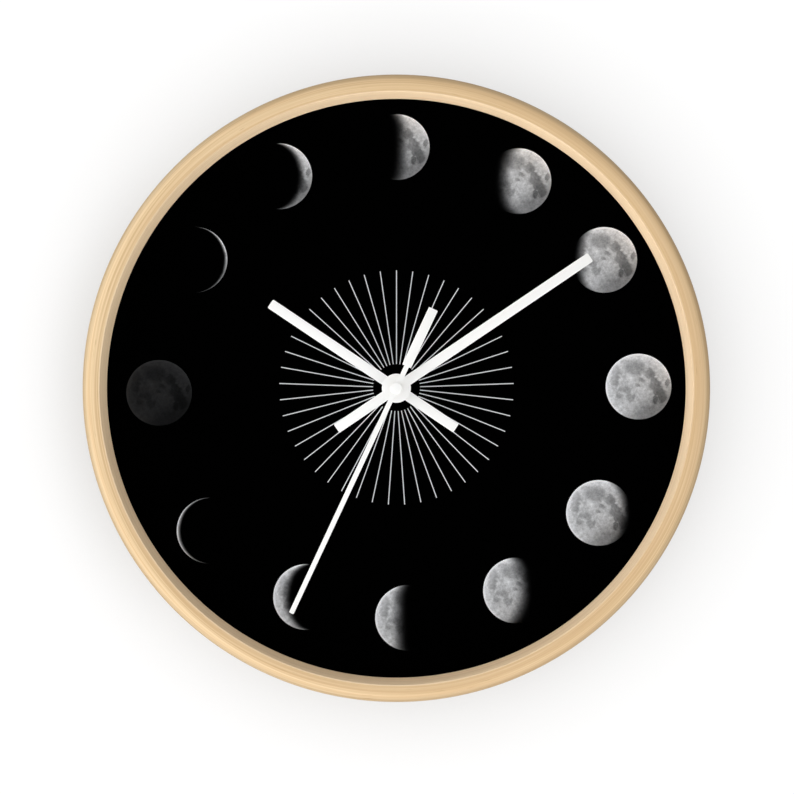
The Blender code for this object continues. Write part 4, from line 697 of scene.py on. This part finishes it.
def build_hand(name, tip, degrees, low, bore, collar_low):
    """A bar with rounded tip corners that swells to a round hub, with a bore and a collar under it. Every
    ring of the grid follows the outline, and the bore and collar take its directions from the axis."""
    half = HAND_WIDTH / 2
    head = bar_end(half, tip, TIP_ROUND)
    tail = bar_end(half, -HAND_TAIL, TAIL_ROUND)
    left, right = hub_sides(half, HUB_R, 40)
    outline = np.concatenate([head, left, tail, right])
    way = outline / np.linalg.norm(outline, axis=1, keepdims=True)
    high = low + HAND_THICK
    collar = way * (bore + COLLAR_WALL)
    rings = [level(collar, low), *rim_of(outline, low, high, HAND_EDGE), level(way * bore, high)]
    rings += [level(way * bore, collar_low), level(collar, collar_low)]
    hand = turned_by(np.array(rings), degrees)
    return skin(f"{name}_enamelled", hand, name.split("_")[0], "white_paint", (name,))


def build_second_hand():
    """A slim pointer with rounded tip corners, a small hub and a wider bar as its counterweight, with a brass
    tube under it and a domed cap over it."""
    half, bar_half, hub_r = 1.0, 1.95, 2.6
    tip, tip_round, bar_start, tail = 100.4, 0.35, 9.8, 35.4
    left, right = hub_sides(half, hub_r, 30)
    left_side = [(-half, 0), (-half, -bar_start), (-bar_half, -bar_start), (-bar_half, -tail)]
    corners = left_side + [(-across, up) for across, up in reversed(left_side)]
    radii = (0, 0, TAIL_ROUND, TAIL_ROUND, TAIL_ROUND, TAIL_ROUND, 0, 0)
    weight = filleted(corners, radii, loop=False)[1:-1]
    outline = np.concatenate([bar_end(half, tip, tip_round), left, weight, right])
    low, high, edge = 36.5, 36.9, 0.08
    hand = turned_by(np.array(rim_of(outline, low, high, edge)), SECOND_ANGLE)
    skin("second_hand_enamelled", hand, "second", "white_paint", ("second_hand",), loop=False)
    bore, tube_r, tube_low, tube_high = 0.55, 1.0, 35.5, 36.52
    tube = np.array([(bore, tube_low), (tube_r, tube_low), (tube_r, tube_high), (bore, tube_high)])
    skin("second_hand_tube", around(tube, 32), "second", "brass")
    middle, cap_r, cap_low, cap_side, cap_top = 0.3, 2.35, 37.05, 37.75, 37.79
    corners = [(middle, cap_low), (cap_r, cap_low), (cap_r, cap_side), (middle, cap_top)]
    dome = filleted(corners, (0, 0.1, 0.5, 0), loop=False)
    skin("second_cap_enamelled", around(dome, 64), "second", "white_paint", ("second_cap",), loop=False)


def build_bush_stack():
    """The hexagon nut with its corners cut by a cone, and the washer under it. At each angle the nut's radius
    is the smaller of the hexagon's and the cone's, which grows by slope times the distance from the end."""
    half, low, high, bore, steps = 4.9, 28.1, 30.1, 4.15, 96
    cone_r, slope, cuts = 4.75, 1.73, (0.0, 0.12, 0.3, 0.6)
    turn = np.linspace(0, math.tau, steps, endpoint=False)
    flats = half * (1 / np.cos((turn + math.pi / 6) % (math.pi / 3) - math.pi / 6))
    rows = [(np.full(steps, bore), low)]
    rows += [(np.minimum(flats, cone_r + cut * slope), low + cut) for cut in cuts]
    rows += [(np.minimum(flats, cone_r + cut * slope), high - cut) for cut in reversed(cuts)]
    rows.append((np.full(steps, bore), high))
    rings = [
        np.column_stack([radius * np.cos(turn), radius * np.sin(turn), np.full(steps, height)])
        for radius, height in rows
    ]
    skin("bush_nut", np.array(rings), "frame", "brass", ("hex_nut",))
    washer_r, washer_low, washer_high = 5.6, 27.3, 27.8
    corners = [(bore, washer_low), (washer_r, washer_low), (washer_r, washer_high), (bore, washer_high)]
    washer = filleted(corners, (0.05, 0.12, 0.12, 0.05), steps=3)
    skin("bush_washer", around(washer, 64), "frame", "brass", ("brass_washer",))


def build_clips():
    """Bent strips that hold the board, each with a cross-slotted pan-head screw. At a distance d from a
    strip's end, less than its rounding r, the half width is w - r + sqrt(r^2 - (r - d)^2). A screw's crown
    rises by h (1 - (s / R)^2) at a distance s from its middle."""
    inner, outer, foot_height, leg_low = 110.8, 121.8, 20.9, 9.9
    half_thick, half_wide, bend_r, end_r = 0.4, 5.0, 1.2, 1.5
    knee = outer - half_thick
    corners = [(inner, foot_height), (knee, foot_height), (knee, leg_low)]
    path = filleted(corners, (0, bend_r, 0), steps=8, loop=False)
    # The points of the path close up towards both ends
    reach = end_r * (1 - np.cos(np.linspace(0, math.pi / 2, 7)))[:, None]
    first_way = (path[1] - path[0]) / np.linalg.norm(path[1] - path[0])
    last_way = (path[-1] - path[-2]) / np.linalg.norm(path[-1] - path[-2])
    path = np.concatenate([path[0] + first_way * reach, path[1:-1], path[-1] - last_way * reach[::-1]])
    run = np.concatenate([[0], np.cumsum(np.linalg.norm(np.diff(path, axis=0), axis=1))])
    ahead = np.gradient(path, axis=0)
    ahead /= np.linalg.norm(ahead, axis=1, keepdims=True)
    normal = np.stack([-ahead[:, 1], ahead[:, 0]], axis=-1)
    to_end = np.minimum(np.minimum(run, run[-1] - run), end_r)
    half = half_wide - end_r + np.sqrt(np.maximum(end_r**2 - (end_r - to_end) ** 2, 1e-4))
    corners = np.array([(-1, -half_thick), (1, -half_thick), (1, half_thick), (-1, half_thick)])
    section = np.concatenate([np.linspace(corners[i], corners[(i + 1) % 4], 5)[:-1] for i in range(4)])
    # Both faces are a little narrower than the middle of the strip, so its long edges are eased
    squeeze = np.where(np.abs(section[:, 1]) > 0.9 * half_thick, 0.975, 1.0)
    strip = np.empty((len(path), len(section), 3))
    strip[..., 0] = path[:, :1] + normal[:, :1] * section[:, 1]
    strip[..., 1] = half[:, None] * section[:, 0] * squeeze
    strip[..., 2] = path[:, 1:] + normal[:, 1:] * section[:, 1]

    # The head's rim by radius and rise, then its crown. Its cross is sunk within both an arm's half width and
    # its length, and slopes up over a distance at its sides and at its ends
    rim = np.array([(2.15, 0.0), (2.2, 0.05), (2.2, 0.75), (2.1, 1.0), (1.95, 1.13)])
    crown_r, crown_rise, sunk = 1.85, 0.17, 0.8
    arm_half, side_slope, arm_length, end_slope = 0.22, 0.16, 1.15, 0.2
    seat_r, screw_height = 120.85, 15.8
    crown = np.linspace(crown_r, 0.15, 18)
    reach = np.concatenate([rim[:, 0], crown])[:, None]
    rise = np.concatenate([rim[:, 1], rim[-1, 1] + crown_rise * (1 - (crown / crown_r) ** 2)])
    turn = np.linspace(0, math.tau, 96, endpoint=False)
    flat = np.stack([reach * np.cos(turn), reach * np.sin(turn)], axis=-1)
    past_side = np.maximum(np.abs(flat).min(axis=-1) - arm_half, 0) / side_slope
    past_end = np.maximum(np.abs(flat).max(axis=-1) - arm_length, 0) / end_slope
    out = rise[:, None] - np.clip(1 - np.maximum(past_side, past_end), 0, 1) * sunk
    screw = np.stack([seat_r - out, flat[..., 0], screw_height + flat[..., 1]], axis=-1)
    for number in range(4):
        for kind, ending, rings in (("board_clip", "strip", strip), ("clip_screw", "head", screw)):
            node = f"{kind}_{number + 1}"
            turned = turned_by(rings, -90.0 * number)
            skin(f"{node}_{ending}", turned, "frame", "zinc_steel", (node,), loop=False)


def build_knob():
    """The setting knob's grip: a fluted rim, r = R - d (1 - cos 18 t) / 2, round a sunk flat. The flutes fade
    out between the rim and the flat."""
    centre = np.array((13.5295, 13.354, 0.0))
    rim_r, flute_depth, flutes, fade_from, fade_over, steps = 6.06, 0.42, 18, 5.0, 0.5, 216
    # From the lid to the middle of the flat: radius, height and rounding
    rows = [(1.0, 3.62, 0.0), (rim_r, 3.62, 0.15), (rim_r, 0.8, 0.4), (fade_from, 0.8, 0.1)]
    rows = np.array(rows + [(4.7, 1.05, 0.1), (0.4, 1.05, 0.0)])
    profile = filleted(rows[:, :2], rows[:, 2], steps=4, loop=False)
    turn = np.linspace(0, math.tau, steps, endpoint=False)
    flute = flute_depth / rim_r * (1 - np.cos(flutes * turn)) / 2
    share = np.clip((profile[:, :1] - fade_from) / fade_over, 0, 1)
    rings = around(profile, steps)
    rings[..., :2] *= (1 - share * flute)[..., None]
    skin("setting_knob_grip", rings + centre, "setting", "black_abs", loop=False)


def build_cell():
    """The cell: a steel can with its nub and its flat base, and a thin sleeve rolled over both ends."""
    up, height, steps = -19.27, 10.35, 96

    def along(rows, loop):
        """Carries rows of (radius, right, rounding) round the cell's own axis."""
        rows = np.array(rows)
        rings = around(filleted(rows[:, :2], rows[:, 2], steps=4, loop=loop), steps)
        return np.stack([rings[..., 2], rings[..., 0] + up, rings[..., 1] + height], axis=-1)

    # The can from its flat end to its nub
    base = [(0.2, -24.5, 0.0), (4.3, -24.5, 0.1), (4.5, -24.35, 0.1), (7.1, -24.35, 0.3)]
    shoulder = [(7.1, 24.2, 0.6), (6.2, 24.6, 0.5), (4.0, 24.75, 0.3)]
    nub = [(2.75, 24.9, 0.2), (2.75, 25.9, 0.45), (0.2, 25.9, 0.0)]
    can = along(base + shoulder + nub, False)
    skin("cell_can", can, "battery", "nickel_steel", ("battery_cell",), loop=False)
    outside = [(5.9, -24.6, 0.05), (7.25, -24.6, 0.6), (7.25, 24.5, 0.7), (6.0, 24.75, 0.05)]
    inside = [(6.0, 24.6, 0.05), (7.1, 24.3, 0.5), (7.1, -24.4, 0.4), (5.9, -24.45, 0.05)]
    skin("cell_sleeve", along(outside + inside, True), "battery", "cell_sleeve")


def softened(node, width):
    """A copy of a CAD node with its triangles merged to whole faces and its sharp edges rounded."""
    shell = bmesh.new()
    shell.from_mesh(frame["nodes"][node].data)
    bmesh.ops.remove_doubles(shell, verts=shell.verts, dist=MERGE_DISTANCE)
    flat = math.radians(FLAT_ANGLE)
    bmesh.ops.dissolve_limit(shell, angle_limit=flat, verts=shell.verts, edges=shell.edges)
    mesh = bpy.data.meshes.new(f"{node}_moulded")
    shell.to_mesh(mesh)
    shell.free()
    piece = smooth_piece(f"{node}_softened", mesh)
    bevel = piece.modifiers.new("edges", "BEVEL")
    bevel.width = width * MM
    bevel.segments = 2
    bevel.limit_method = "ANGLE"
    bevel.angle_limit = math.radians(ROUNDED_ANGLE)
    bevel.harden_normals = True
    return keep(piece, BODY_OF[node], SLOT_OF[node], (node,))


def dress_nodes():
    """Every CAD node gets its slot's finish."""
    for node, piece in frame["nodes"].items():
        piece.data.materials.clear()
        piece.data.materials.append(MATERIALS[SLOT_OF[node]])


def softbox(name, place, target, size, watts):
    """A square area lamp that faces a point. Neither cameras nor reflections see it."""
    lamp = bpy.data.lights.new(name, "AREA")
    lamp.shape = "SQUARE"
    lamp.size = size
    lamp.energy = watts
    holder = new_object(name, lamp)
    holder.location = place
    holder.rotation_euler = (Vector(target) - Vector(place)).to_track_quat("-Z", "Y").to_euler()
    holder.visible_camera = False
    holder.visible_glossy = False


# Studio light, where 1 shows a colour as it is written: straight in front, added at the sides, from behind,
# how much it leans, and which way, towards the lower left. Then the lamp behind: its place and size in
# metres, and its watts
FRONT_LEVEL = 0.50
SIDE_LEVEL = 2.60
BACK_LEVEL = 0.80
LEAN = 0.60
LEAN_WAY = (-0.71, 0.0, -0.70)
REAR_PLACE = (-0.4, 2.4, 0.3)
REAR_SIZE = 1.2
REAR_WATTS = 54.0

# The wall: half its width and its place behind the clock, in metres
WALL_HALF = 1.6
WALL_PLACE = 0.0022

# The wall's own glow, how much of it is lost where the clock covers it, how far off in metres the clock still
# covers it, how much more is lost at the clock's left, and the tone that the lamps light
WALL_GLOW = 0.88
WALL_LOSS = 0.68
WALL_COVER = 0.16
LEFT_LOSS = 0.07
WALL_TONE = 0.20

# Camera: its place in front of the frame's origin in metres, lens and sensor in millimetres, and its shift as
# a share of the picture
CAMERA_Y = -0.480
LENS = 49.95
SENSOR = 36.0
SHIFT_RIGHT = 0.0008
SHIFT_UP = -0.0110


def build_stage():
    """A pale wall just behind the clock that keeps its shadow, and even studio light."""
    corners = [(x * WALL_HALF, WALL_PLACE, z * WALL_HALF) for x, z in ((-1, -1), (1, -1), (1, 1), (-1, 1))]
    mesh = bpy.data.meshes.new("wall")
    mesh.from_pydata(corners, [], [(0, 1, 2, 3)])
    wall = new_object("wall", mesh)
    # Only cameras see the wall, so the clock is lit by the lamps and the world alone and its metal shows the
    # studio, and the wall is clear from behind, so that views of the back aren't blocked
    wall.visible_diffuse = False
    wall.visible_glossy = False
    wall.visible_shadow = False
    material = bpy.data.materials.new("pale_painted_wall")
    material.use_nodes = True
    tree = material.node_tree
    tree.nodes.clear()
    chalk = add(tree, "ShaderNodeBsdfDiffuse", {"Color": (WALL_TONE, WALL_TONE, WALL_TONE, 1.0)})
    cover = add(tree, "ShaderNodeAmbientOcclusion", {"Distance": WALL_COVER}, samples=24).outputs["AO"]
    glow = add(tree, RANGE, {"Value": cover, "To Min": WALL_GLOW - WALL_LOSS, "To Max": WALL_GLOW})
    # A wide soft shadow at the clock's left
    from_axis, rightward, _ = about_axis(tree, in_millimetres(tree))
    levels = {"From Min": -1.0, "From Max": -0.7, "To Min": LEFT_LOSS, "To Max": 0.0}
    leftness = add(tree, RANGE, {"Value": rightward, **levels})
    levels = {"From Min": 136.0, "From Max": 162.0, "To Min": 1.0, "To Max": 0.0}
    near = add(tree, RANGE, {"Value": from_axis, **levels}, **SMOOTH)
    shade = add(tree, MATH, {0: leftness, 1: near}, operation="MULTIPLY")
    glow = add(tree, MATH, {0: glow, 1: shade}, operation="SUBTRACT")
    glow = add(tree, "ShaderNodeEmission", {"Strength": glow})
    front = add(tree, "ShaderNodeAddShader", {0: chalk, 1: glow})
    clear = add(tree, "ShaderNodeBsdfTransparent")
    behind = add(tree, "ShaderNodeNewGeometry").outputs["Backfacing"]
    surface = add(tree, "ShaderNodeMixShader", {0: behind, 1: front, 2: clear})
    add(tree, "ShaderNodeOutputMaterial", {"Surface": surface})
    mesh.materials.append(material)

    world = bpy.data.worlds.new("studio")
    bpy.context.scene.world = world
    world.use_nodes = True
    tree = world.node_tree
    tree.nodes.clear()
    rays = add(tree, "ShaderNodeLightPath").outputs
    seen = add(tree, MATH, {0: rays["Is Camera Ray"], 1: rays["Is Glossy Ray"]}, operation="MAXIMUM")
    seen = add(tree, MATH, {0: seen, 1: rays["Is Transmission Ray"]}, operation="MAXIMUM")
    # Level over the sky: (front + side * sin^8 of the angle from the hands' axis) * (1 + lean), and behind
    # the clock back * cos^2 of that angle * (1 + lean). Camera, gloss and glass see plain white instead
    way = add(tree, "ShaderNodeTexCoord").outputs["Generated"]
    depth = add(tree, SEPARATE, {"Vector": way}).outputs[1]
    squared = add(tree, MATH, {0: depth, 1: depth}, operation="MULTIPLY")
    in_plane = add(tree, MATH, {0: 1.0, 1: squared}, operation="SUBTRACT")
    ring = add(tree, MATH, {0: in_plane, 1: 4.0}, operation="POWER")
    front = add(tree, MATH, {0: ring, 1: SIDE_LEVEL, 2: FRONT_LEVEL}, operation="MULTIPLY_ADD")
    behind = add(tree, RANGE, {"Value": depth, "From Min": -0.06, "From Max": 0.06}, **SMOOTH)
    back = add(tree, MATH, {0: squared, 1: BACK_LEVEL}, operation="MULTIPLY")
    level_here = add(tree, MIX, {MIX_FACTOR: behind, VALUE_A: front, VALUE_B: back}, data_type="FLOAT")
    tilt = add(tree, VECTOR, {0: way, 1: tuple(LEAN * part for part in LEAN_WAY)}, operation="DOT_PRODUCT")
    lean = add(tree, MATH, {0: tilt.outputs["Value"], 1: 1.0}, operation="ADD")
    strength = add(tree, MATH, {0: level_here, 1: lean}, operation="MULTIPLY")
    plain = add(tree, "ShaderNodeBackground", {"Color": colour("#ffffff"), "Strength": strength})
    white = add(tree, "ShaderNodeBackground", {"Color": colour("#ffffff"), "Strength": 1.0})
    surface = add(tree, "ShaderNodeMixShader", {0: seen, 1: plain, 2: white})
    add(tree, "ShaderNodeOutputWorld", {"Surface": surface})

    softbox("rear", REAR_PLACE, (0.0, 0.0, AXIS_Z * MM), REAR_SIZE, REAR_WATTS)


def build_camera():
    """Straight on from 442 mm in front of the hoop, through a 49.95 mm lens, a hair off centre."""
    camera = bpy.data.cameras.new("camera")
    camera.sensor_width = SENSOR
    camera.lens = LENS
    camera.shift_x = SHIFT_RIGHT
    camera.shift_y = SHIFT_UP
    holder = new_object("camera", camera)
    holder.location = (0.0, CAMERA_Y, AXIS_Z * MM)
    holder.rotation_euler = (math.pi / 2, 0.0, 0.0)
    bpy.context.scene.camera = holder


bpy.context.scene.view_settings.view_transform = "Standard"
build_camera()
build_stage()
dress_nodes()
build_hoop()
for hand, sizes_and_place in HANDS.items():
    build_hand(hand, *sizes_and_place)
build_second_hand()
build_bush_stack()
build_clips()
build_knob()
build_cell()
for softened_node, edge_width in SOFT_EDGES.items():
    softened(softened_node, edge_width)
